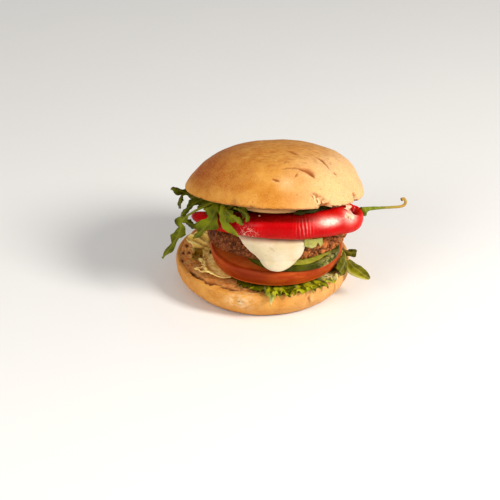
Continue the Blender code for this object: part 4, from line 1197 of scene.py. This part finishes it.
def make_chili(red, peel):
    points, faces, along, turn = tube(CHILI_LINE, 440, 110)
    away = np.linalg.norm(points - CHILI_HOLE, axis=1) * (1 + 0.22 * roughness(points, 2.4, 6.0))
    # the hole is pushed in and also painted dark inside as shade
    hole = smoothstep(1.35 - away / 4.1)
    blister = near(points, CHILI_BLISTER, 4.6, (1, 1, 1.3))
    push = -4.2 * hole + 0.45 * bell(away - 4.8, 0.7)
    push -= 0.35 * roughness(points, 11.0, 8.8)
    ribs = np.sin(along * 560 + 2.5 * roughness(points, 5.0, 2.0))
    ribbed = bell(along - 0.66, 0.09) * np.cos(turn) ** 2
    push += 0.03 * ribs * ribbed
    push += 0.30 * blister * roughness(points, 1.6, 3.0)
    points = pushed(points, faces, push)
    # painted shade along the top, where the onion and the crown overhang it
    upper = smoothstep((np.sin(turn) - 0.56) / 0.22)
    shade = 0.95 * upper * smoothstep((along - 0.2) / 0.1) * smoothstep((0.70 - along) / 0.08)
    warm = smoothstep((along - 0.62) / 0.3) * 0.7
    # painted highlights beside the hole, at its end and over the ribs
    sheen = 1.5 * near(points, CHILI_SHEEN, 3.2, (0.42, 1, 1.6))
    sheen += 1.2 * near(points, CHILI_SHEEN_END, 3.4)
    sheen += 0.4 * near(points, CHILI_SHEEN_RIBBED, 3.8) * smoothstep(2.0 * ribs - 0.9)
    add_piece("chili_fruit", points, faces, red, "chili_skin", "chili", shade=shade, warm=warm,
              hollow=hole, blister=np.clip(1.4 * blister, 0, 1), sheen=np.clip(sheen, 0, 1))
    make_peel(peel)


def make_peel(peel):
    rows, columns = 14, 20
    for number, (centre, out, length, width, red) in enumerate(PEEL_SCRAPS, 1):
        out = np.array(out) / np.linalg.norm(out)
        up = np.array(centre) - CHILI_SHOULDER
        up /= np.linalg.norm(up)
        side = np.cross(up, out)
        side /= np.linalg.norm(side)
        points, reds = [], []
        for s in np.linspace(0, 1, rows):
            for w in np.linspace(-0.5, 0.5, columns):
                outline = 1 - 0.35 * abs(math.sin(9 * w + 2 * number)) - 0.5 * w * w
                lift = 0.35 + 0.9 * s * s * (0.5 + 0.5 * math.sin(7 * w + number))
                fall = 0.055 * (length * s) ** 2 + 0.30 * (width * w) ** 2 / 8
                p = np.array(centre) + out * (length * (s - 0.3) * outline) + side * (width * w)
                points.append(p + up * (lift - fall))
                reds.append(red + (0.5 if s < 0.12 else 0.0))
        add_piece(f"chili_peel_{number}", points, grid_faces(rows, columns), peel, "chili_skin",
                  skin=0.2, red=reds)


def make_stem(green):
    points, faces, along, turn = tube(STEM_LINE, 150, 30)
    ridges = 0.10 * np.sin(5 * turn) * np.exp(-along * 3)
    flare = 0.5 * bell(along, 0.05)
    knob = 0.25 * bell(along - 0.985, 0.03)
    push = ridges + flare + knob + 0.07 * roughness(points, 1.5, 3.0)
    points = pushed(points, faces, push)
    dry = smoothstep((along - 0.28) / 0.4) * (0.85 + 0.3 * roughness(points, 3.0, 1.0))
    tip = smoothstep((along - 0.95) / 0.04)
    add_piece("chili_stalk", points, faces, green, "chili_stem", "chili_stem",
              dry=np.clip(dry, 0, 1), tip=tip)


def make_onion(pale):
    """A round slice that lies under the crown, tilted with it, on top of the chili."""
    cx, cy = ONION_CENTRE
    wide, thick = ONION_RADIUS, ONION_THICK
    normal = crown_matrix()[:, 2]
    rest = under_crown(cx, cy) - thick - ONION_DROP
    rim = [(wide - 1.4, 0.0), (wide - 0.3, 0.2 * thick), (wide, 0.5 * thick),
           (wide - 0.3, 0.8 * thick), (wide - 1.4, thick)]
    profile = [(0.0, 0.0), (0.5 * wide, 0.0)] + [tuple(p) for p in smooth_path(rim, 18)]
    profile += [(share * wide, thick) for share in np.linspace(0.9, 0.1, 22)] + [(0.0, thick)]
    angle, radius, height, faces = lathe(profile, 150)
    x, y = cx + radius * np.cos(angle), cy + ONION_SHAPE * radius * np.sin(angle)
    flat = -(normal[0] * (x - cx) + normal[1] * (y - cy)) / normal[2]
    points = np.stack([x, y, rest + flat + height], 1)
    uneven = radius + 0.4 * roughness(points, 8.0, 2.0)
    ring = bell(np.remainder(uneven, ONION_RING) - 0.5 * ONION_RING, 0.35) * (radius > 3)
    points = pushed(points, faces, 0.15 * roughness(points, 4.0, 3.0) - 0.2 * ring)
    edge = smoothstep((radius - wide + 1.6) / 1.2)
    add_piece("onion_slice_rings", points, faces, pale, "onion", "onion_slice", ring=ring,
              edge=0.7 * edge * smoothstep(1.3 - height / thick))


# The leaves

LEAF_SIDEWAYS = 7               # points to each side of a leaf's midrib
ROCKET_STATIONS = 90            # and along it
PLAIN_STATIONS = 60


def leaf_grid(spine, facing, left, right, stations, ribs, cup, ripple, sweep, seed,
              sideways=LEAF_SIDEWAYS):
    """Points and masks of a leaf whose midrib follows spine. facing is the way its upper side
    looks. left and right give the half widths, and sweep draws the lobes towards the tip."""
    centre = smooth_path(spine, stations)
    ahead = np.gradient(centre, axis=0)
    ahead /= np.linalg.norm(ahead, axis=1)[:, None]
    length = np.linalg.norm(np.diff(centre, axis=0), axis=1).sum()
    points, vein = [], []
    for i, (c, a) in enumerate(zip(centre, ahead)):
        t = i / (stations - 1)
        side = np.cross(np.array(facing, float), a)
        side /= np.linalg.norm(side)
        normal = np.cross(a, side)
        for across in np.linspace(-1.0, 1.0, 2 * sideways + 1):
            half = left(t) if across < 0 else right(t)
            reach = abs(across)
            bend = -cup * half * across * across
            wave = ripple * across * math.sin(9.0 * t + 2.0 * across)
            frill = 0.35 * ripple * reach ** 2 * math.sin(31 * t + 4 * across + seed)
            p = c + side * half * across + normal * (bend + wave + frill)
            points.append(p + a * sweep * half * reach ** 1.6)
            midrib = math.exp(-(across * half / 0.42) ** 2)
            branch = math.sin(math.pi * (ribs * t - 0.9 * reach * half / length * ribs))
            lateral = 0.45 * max(0.0, branch) ** 24 * (1 - reach) if ribs else 0.0
            vein.append(min(1.0, midrib + lateral))
    points = np.array(points)
    faces = grid_faces(stations, 2 * sideways + 1)
    crinkle = 0.16 * roughness(points, 2.2, 1.3 + seed)
    return pushed(points, faces, crinkle), faces, np.array(vein)


def rocket_width(half, stalk, lobes, phase):
    """Half width along a rocket leaf: a thin stalk, then a blade cut into swept lobes."""
    def width(t):
        blade = max(0.0, (t - stalk) / (1 - stalk))
        outline = half * (math.sin(math.pi * min(1.0, 0.10 + 0.90 * blade)) ** 0.6)
        step = (lobes * blade + phase) % 1.0
        lobe = (step / 0.68) ** 1.4 if step < 0.68 else ((1 - step) / 0.32) ** 0.8
        notched = 0.30 + 0.80 * lobe + 0.06 * math.sin(41 * t + 7 * phase)
        tip = float(smoothstep((1.02 - blade) / 0.10))
        return max(0.5, outline * notched * tip * float(smoothstep(blade / 0.12 + 0.05)))
    return width


def plain_width(half):
    """Half width of a leaf or lobe with an uncut edge and a round tip."""
    return lambda t: max(0.25, half * (math.sin(math.pi * (0.04 + 0.93 * t)) ** 0.75))


def drawn_width(stops):
    """Half width that runs through (share along, millimetres) stops."""
    shares, halves = zip(*stops)
    return lambda t: max(0.25, float(np.interp(t, shares, halves)))


# Each rocket leaf: midrib, way it faces, half width, share that is bare stalk, lobes, lightness
ROCKET_LEAVES = (
    (((-35.2, 2.0, 52.6), (-40.0, 1.0, 54.6), (-44.8, 0.0, 57.0), (-49.4, -1.5, 59.3),
      (-53.8, -3.0, 61.6)), (0.1, -0.6, 0.8), 3.7, 0.12, 1.6, 0.25),
    (((-47.0, -4.5, 58.2), (-48.2, -6.0, 56.6), (-48.5, -7.5, 54.4), (-49.0, -9.0, 51.6)),
     (-0.2, -1.0, 0.1), 1.7, 0.05, 0.8, 0.2),
    (((-21.5, -26.0, 64.8), (-29.0, -31.0, 66.6), (-36.0, -33.6, 64.6), (-43.0, -34.6, 60.6),
      (-47.2, -34.8, 56.4), (-47.6, -34.8, 52.0), (-49.6, -34.6, 46.6), (-53.4, -34.0, 40.0),
      (-58.4, -33.0, 31.8)), (-0.1, -1.0, 0.2), 3.8, 0.36, 2.6, 0.25),
    (((-30.0, -19.5, 63.4), (-36.4, -22.0, 63.6), (-40.6, -24.4, 62.2), (-44.6, -27.0, 60.0),
      (-47.2, -29.0, 57.4)), (-0.3, -1.0, 0.3), 3.0, 0.06, 1.4, 0.05),
    (((-45.6, -31.6, 55.2), (-42.2, -30.6, 53.2), (-38.2, -30.2, 51.2), (-33.6, -29.4, 49.0)),
     (0.0, -1.0, 0.2), 2.4, 0.0, 1.2, 0.15),
    (((-22.6, -30.0, 66.4), (-26.0, -37.0, 67.4), (-28.2, -39.6, 64.2), (-30.8, -40.4, 59.6),
      (-34.9, -40.6, 54.6), (-40.2, -39.6, 48.4)), (0.15, -1.0, 0.25), 6.2, 0.10, 2.2, 0.4),
    (((-19.0, -29.0, 65.6), (-23.4, -38.0, 68.2), (-23.2, -42.4, 65.8), (-21.4, -44.6, 62.0),
      (-18.4, -46.4, 58.0), (-14.8, -47.4, 54.0)), (-0.25, -1.0, 0.3), 3.9, 0.10, 0.9, 0.95),
    (((-17.6, -36.0, 67.6), (-21.0, -43.4, 69.0), (-18.6, -46.6, 67.0), (-15.2, -48.2, 64.6),
      (-12.0, -49.0, 62.2)), (0.2, -1.0, 0.5), 3.9, 0.12, 1.3, 0.3),
    (((-17.0, -40.5, 68.4), (-12.4, -45.8, 69.2), (-9.9, -48.4, 67.8), (-10.2, -49.8, 64.4)),
     (0.1, -1.0, 0.3), 3.2, 0.10, 1.2, 0.05),
)


def make_rocket_leaves(green):
    for number, (spine, facing, half, stalk, lobes, light) in enumerate(ROCKET_LEAVES, 1):
        left, right = (rocket_width(half, stalk, lobes, phase) for phase in (0.1, 0.45))
        points, faces, vein = leaf_grid(spine, facing, left, right, ROCKET_STATIONS, 7, 0.22, 0.4,
                                        0.25, number)
        share = np.repeat(np.linspace(0, 1, ROCKET_STATIONS), 2 * LEAF_SIDEWAYS + 1)
        tone = light + 0.6 * roughness(points, 3.5, number) + 0.6 * (share < 0.9 * stalk)
        add_piece(f"rocket_blade_{number}", points, faces, green, "rocket_leaf",
                  f"rocket_leaf_{number}", LEAF_SKIN, tone=np.clip(tone, 0, 1), vein=0.5 * vein)


# Leaves with a plain edge: node, midrib, way it faces, half widths along it and lightness
PLAIN_LEAVES = (
    ("leaf_under_bun", ((16.6, -45.0, 67.2), (22.0, -43.0, 67.3), (28.0, -39.8, 66.8),
                        (33.6, -36.2, 66.2), (38.4, -32.6, 65.5)), (0.3, -1.0, 1.2),
     ((0, 0.4), (0.15, 1.5), (0.3, 0.9), (0.5, 1.6), (0.68, 0.8), (0.85, 1.5), (1, 0.5)), 0.0),
    ("leaf_right_round", ((45.6, -0.5, 20.8), (48.6, -4.8, 20.8), (51.6, -6.8, 21.0),
                          (54.8, -7.8, 21.2)), (0.1, -0.7, 0.8),
     ((0, 0.6), (0.3, 1.0), (0.5, 2.2), (0.7, 2.3), (0.92, 2.6), (1, 1.9)), 0.0),
    ("leaf_right_long", ((49.6, -12.4, 19.0), (52.2, -18.6, 18.4), (55.6, -22.8, 17.4),
                         (58.9, -25.8, 16.3), (61.6, -28.0, 15.4)), (0.1, -0.4, 1.0),
     ((0, 1.2), (0.12, 3.0), (0.32, 4.7), (0.55, 4.1), (0.75, 3.2), (0.92, 1.9), (1, 0.5)), 0.35),
    ("leaf_right_low", ((47.6, -10.5, 23.2), (47.8, -17.0, 23.0), (46.4, -24.0, 22.2),
                        (43.8, -30.2, 21.2)), (0.8, -0.6, 0.5),
     ((0, 1.2), (0.3, 2.2), (0.6, 4.0), (0.85, 4.3), (1, 2.8)), 0.0),
)
# A pale twisted curl of leaf in front of them, and its half width
CURL_LINE = ((44.6, -6.0, 23.2), (46.2, -10.5, 24.0), (45.4, -15.0, 24.2), (46.4, -19.5, 23.0))
CURL_HALF = 0.9


def make_plain_leaves(green, shaded):
    for number, (node, spine, facing, widths, light) in enumerate(PLAIN_LEAVES, 1):
        width = drawn_width(widths)
        points, faces, vein = leaf_grid(spine, facing, width, width, PLAIN_STATIONS, 6, 0.22,
                                        0.35, -0.08, number)
        tone = light + 0.6 * roughness(points, 3.0, number)
        vein = 0.3 * vein
        if node == "leaf_right_long":
            # a painted highlight along one edge of this leaf
            across = np.tile(np.linspace(-1, 1, 2 * LEAF_SIDEWAYS + 1), PLAIN_STATIONS)
            tone += 0.9 * smoothstep((-across - 0.45) / 0.3)
            vein += smoothstep((-across - 0.6) / 0.3)
        look = shaded if node == "leaf_under_bun" else green
        add_piece(f"{node}_blade", points, faces, look, "plain_leaf", node, LEAF_SKIN,
                  tone=np.clip(tone, 0, 1), vein=0.7 * vein)
    width = plain_width(CURL_HALF)
    points, faces, vein = leaf_grid(CURL_LINE, (0.3, -1.0, 0.4), width, width, 40, 0, 0.9, 0.5,
                                    0.1, 3)
    add_piece("leaf_right_curl", points, faces, green, "plain_leaf", skin=LEAF_SKIN,
              tone=np.ones(len(points)), vein=0.3 * vein)


# The torn scrap on the patty's side: its upper edge, and how far it hangs down along that
SCRAP_EDGE = ((22.8, -43.2, 50.1), (28.2, -42.2, 49.6), (33.2, -39.8, 49.0))
SCRAP_DROP = ((0.0, 4.4), (0.12, 5.4), (0.40, 5.6), (0.62, 4.6), (0.72, 2.2), (0.80, 4.0),
              (0.90, 5.6), (1.0, 3.2))


def make_scrap(green):
    rows, columns = 20, 70
    edge = smooth_path(SCRAP_EDGE, columns)
    drop = np.interp(np.linspace(0, 1, columns), *zip(*SCRAP_DROP))
    points = []
    for level in np.linspace(0, 1, rows):
        hang = edge - np.outer(level * drop, (0.0, 0.0, 1.0))
        hang[:, 1] += 0.5 * np.sin(np.arange(columns) / 7) * level - 0.4 * level * level
        points.append(hang)
    points = np.vstack(points)
    points[:, 1] += 0.35 * roughness(points, 2.0, 4.4)
    tone = 0.8 + 0.8 * roughness(points, 1.6, 2.2)
    vein = smoothstep(roughness(points, 2.6, 6.1) * 3 - 0.3)
    add_piece("leaf_scrap_torn", points, grid_faces(rows, columns), green, "plain_leaf",
              "leaf_scrap", LEAF_SKIN, tone=np.clip(tone, 0, 1), vein=0.6 * vein)


HEAP_LEAVES = 54
HEAP_TURNS = 7                  # how often they go round the heap
HEAP_SEED = 5


def heap_edge(angle):
    """The heap's uneven outline seen from above, as a share of its two radii."""
    round_off = (np.abs(np.cos(angle)) ** 2.4 + np.abs(np.sin(angle)) ** 2.4) ** (-1 / 2.4)
    return round_off * (1 + 0.05 * np.sin(9 * angle + 0.4) + 0.04 * np.sin(17 * angle + 2.0))


def heap_band(x, y):
    """The lowest and highest that the heap reaches over a place in the stack."""
    low = patty_top(y) + GAP + 0.4
    high = under_crown(x, y) - GAP - 0.5
    apart = np.hypot(x - ONION_CENTRE[0], (y - ONION_CENTRE[1]) / ONION_SHAPE) - ONION_RADIUS
    return low, high - (ONION_THICK + ONION_DROP + 0.4) * (1 - smoothstep((apart - 1.2) / 4.0))


def make_heap_core(green):
    profile = [(0.0, 0.0), (0.5, 0.0), (0.86, 0.0), (0.95, 0.2), (0.98, 0.5), (0.95, 0.8),
               (0.90, 1.0), (0.8, 1.0), (0.6, 1.0), (0.3, 1.0), (0.0, 1.0)]
    angle, share, level, faces = lathe(profile, 160)
    reach = 0.84 * share * heap_edge(angle)
    x = HEAP_CENTRE[0] + HEAP_RADII[0] * reach * np.cos(angle)
    y = HEAP_CENTRE[1] + HEAP_RADII[1] * reach * np.sin(angle)
    low, high = heap_band(x, y)
    points = np.stack([x, y, low + (0.08 + 0.84 * level) * (high - low)], 1)
    points = pushed(points, faces, 0.8 * roughness(points, 3.0, 2.5) - 0.5)
    tone = np.clip(0.3 * roughness(points, 3.0, 1.0), 0, 1)
    add_piece("rocket_heap_core", points, faces, green, "rocket_heap", "rocket_heap", tone=tone)


# Midribs of the leaves that fill the gap over the chili's tip
GAP_LEAVES = (
    ((-18.0, -20.0, 63.2), (-26.0, -23.0, 63.8), (-33.0, -25.5, 63.2), (-38.0, -27.0, 61.8)),
    ((-20.0, -14.0, 61.6), (-28.0, -17.0, 62.4), (-35.0, -19.5, 62.2), (-41.0, -20.5, 60.8)),
    ((-22.0, -24.0, 64.0), (-27.5, -28.5, 64.6), (-30.5, -32.0, 62.8), (-32.0, -34.0, 60.4)),
    ((-22.0, -8.0, 60.4), (-30.0, -9.0, 60.8), (-37.0, -10.0, 60.4), (-42.0, -10.0, 59.2)),
    ((-14.0, -26.0, 65.2), (-20.0, -31.0, 66.0), (-24.0, -34.5, 65.0), (-25.5, -36.5, 62.6)),
)


def make_gap_leaves(green):
    for number, spine in enumerate(GAP_LEAVES, 1):
        width = rocket_width(3.4, 0.05, 2.2, 0.2 * number)
        points, faces, vein = leaf_grid(spine, (0.2, -0.7, 0.7), width, width, 50, 6, 0.15, 0.3,
                                        0.25, number)
        tone = np.clip(0.05 + 0.4 * roughness(points, 4.0, number), 0, 1)
        add_piece(f"gap_leaf_{number}", points, faces, green, "rocket_heap", skin=HEAP_SKIN,
                  tone=tone, vein=0.5 * vein)


def make_heap_leaves(green):
    """Rocket leaves that lie in the wedge and show at its outline."""
    rng = random.Random(HEAP_SEED)
    for number in range(1, HEAP_LEAVES + 1):
        angle = 2 * math.pi * (number + rng.uniform(-0.3, 0.3)) / HEAP_LEAVES * HEAP_TURNS
        level = rng.uniform(0.12, 0.88)
        drift = rng.uniform(-0.35, 0.35)
        spine = []
        for share in (0.45, 0.65, 0.82, 0.97):
            turn = angle + drift * (share - 0.45)
            reach = share * heap_edge(turn)
            x = HEAP_CENTRE[0] + HEAP_RADII[0] * reach * math.cos(turn)
            y = HEAP_CENTRE[1] + HEAP_RADII[1] * reach * math.sin(turn)
            low, high = heap_band(x, y)
            spine.append((x, y, float(low + level * (high - low))))
        room = float(high - low)
        half = min(rng.uniform(2.6, 4.6), 0.8 * room + 0.8)
        tilt = rng.uniform(-0.6, 0.6) * min(1.0, room / 9)
        facing = (tilt * math.sin(angle), -tilt * math.cos(angle), 1.0)
        lobes = rng.uniform(1.2, 2.4)
        left, right = (rocket_width(half, 0.05, lobes, phase) for phase in (0.1, 0.5))
        points, faces, vein = leaf_grid(spine, facing, left, right, 34, 6, 0.12, 0.3, 0.25,
                                        number, 4)
        low, high = heap_band(points[:, 0], points[:, 1])
        points[:, 2] = np.clip(points[:, 2], low + 0.15, high - 0.15)
        tone = np.clip(rng.uniform(0.0, 0.35) + 0.4 * roughness(points, 5.0, number), 0, 1)
        add_piece(f"heap_leaf_{number}", points, faces, green, "rocket_heap", skin=HEAP_SKIN,
                  tone=tone, vein=0.7 * vein)


# The stage

CAMERA_TARGET = (-8.0, 0.0, 19.0)       # what the middle of the picture shows, in millimetres
CAMERA_DISTANCE = 1060.0
CAMERA_ELEVATION = 29.0                 # degrees
CAMERA_LENS = 128.4                     # millimetres, on a sensor 36 mm wide
FLOOR_DROP = 0.02                       # millimetres of air under the heel
FLOOR_REACH = 3000.0


def make_camera():
    data = bpy.data.cameras.new("camera")
    data.lens = CAMERA_LENS
    data.sensor_width = 36.0
    camera = bpy.data.objects.new("camera", data)
    lift = math.radians(CAMERA_ELEVATION)
    away = Vector((0.0, -math.cos(lift), math.sin(lift))) * CAMERA_DISTANCE
    camera.location = (Vector(CAMERA_TARGET) + away) * MM
    camera.rotation_euler = (math.pi / 2 - lift, 0.0, 0.0)
    bpy.context.scene.collection.objects.link(camera)
    bpy.context.scene.camera = camera


def make_floor():
    look = Look("pale_floor", 0.8)
    look.colour = look.mix(look.noise(60.0, 2.0), (*[0.86] * 3, 1.0), (*[0.88] * 3, 1.0))
    corners = [(x * FLOOR_REACH * MM, y * FLOOR_REACH * MM, 0.0)
               for x, y in ((-1, -1), (1, -1), (1, 1), (-1, 1))]
    mesh = bpy.data.meshes.new("floor")
    mesh.from_pydata(corners, [], [(0, 1, 2, 3)])
    mesh.materials.append(look.done())
    floor = bpy.data.objects.new("floor", mesh)
    floor.location = (0.0, 0.0, -FLOOR_DROP * MM)
    bpy.context.scene.collection.objects.link(floor)


def area_light(name, place, size, power, colour):
    data = bpy.data.lights.new(name, "AREA")
    data.shape = "DISK"
    data.size = size
    data.energy = power
    data.color = colour
    light = bpy.data.objects.new(name, data)
    light.location = place
    aim = Vector((0.0, 0.0, 0.05)) - Vector(place)
    light.rotation_euler = aim.to_track_quat("-Z", "Y").to_euler()
    bpy.context.scene.collection.objects.link(light)


def make_lights():
    world = bpy.data.worlds.new("world")
    world.use_nodes = True
    backdrop = world.node_tree.nodes["Background"]
    backdrop.inputs["Color"].default_value = (1.0, 0.99, 0.97, 1.0)
    backdrop.inputs["Strength"].default_value = 0.42
    bpy.context.scene.world = world
    area_light("key", (0.70, -0.45, 0.63), 0.35, 10.2, (1.0, 0.95, 0.87))
    area_light("fill", (-0.65, -0.7, 0.5), 0.6, 4.6, (1.0, 0.96, 0.90))
    bpy.context.scene.view_settings.view_transform = "Standard"


def main():
    crust = crust_look("crown_crust", (216, 156, 74), (196, 126, 42), (158, 66, 12))
    heel_crust = crust_look("heel_crust", (226, 166, 82), (208, 140, 56), (160, 80, 22))
    make_crown(crust)
    make_crumb(crust)
    make_heel(heel_crust, toast_look())
    make_frilled_lettuce(leaf_look("frilled_green", (34, 35, 1), (80, 81, 3), (168, 167, 24),
                                   (220, 208, 148)))
    make_pale_lettuce(pale_look())
    make_tomato(tomato_look())
    make_cucumber(cucumber_look())
    make_patty(patty_look())
    make_sauce(sauce_look())
    make_chili(chili_look(), peel_look())
    make_stem(stem_look())
    make_onion(onion_look())
    rocket = leaf_look("rocket_green", (39, 39, 1), (62, 67, 3), (122, 128, 16), (120, 121, 40))
    shaded = leaf_look("shaded_green", (20, 20, 1), (36, 38, 2), (54, 56, 4), (60, 62, 8))
    make_heap_core(shaded)
    make_heap_leaves(rocket)
    make_gap_leaves(rocket)
    make_rocket_leaves(rocket)
    plain = leaf_look("plain_green", (52, 50, 1), (84, 81, 2), (150, 146, 20), (214, 206, 124))
    make_plain_leaves(plain, shaded)
    make_scrap(leaf_look("torn_green", (128, 124, 40), (148, 144, 58), (164, 162, 88),
                         (182, 178, 116)))
    make_camera()
    make_floor()
    make_lights()


main()
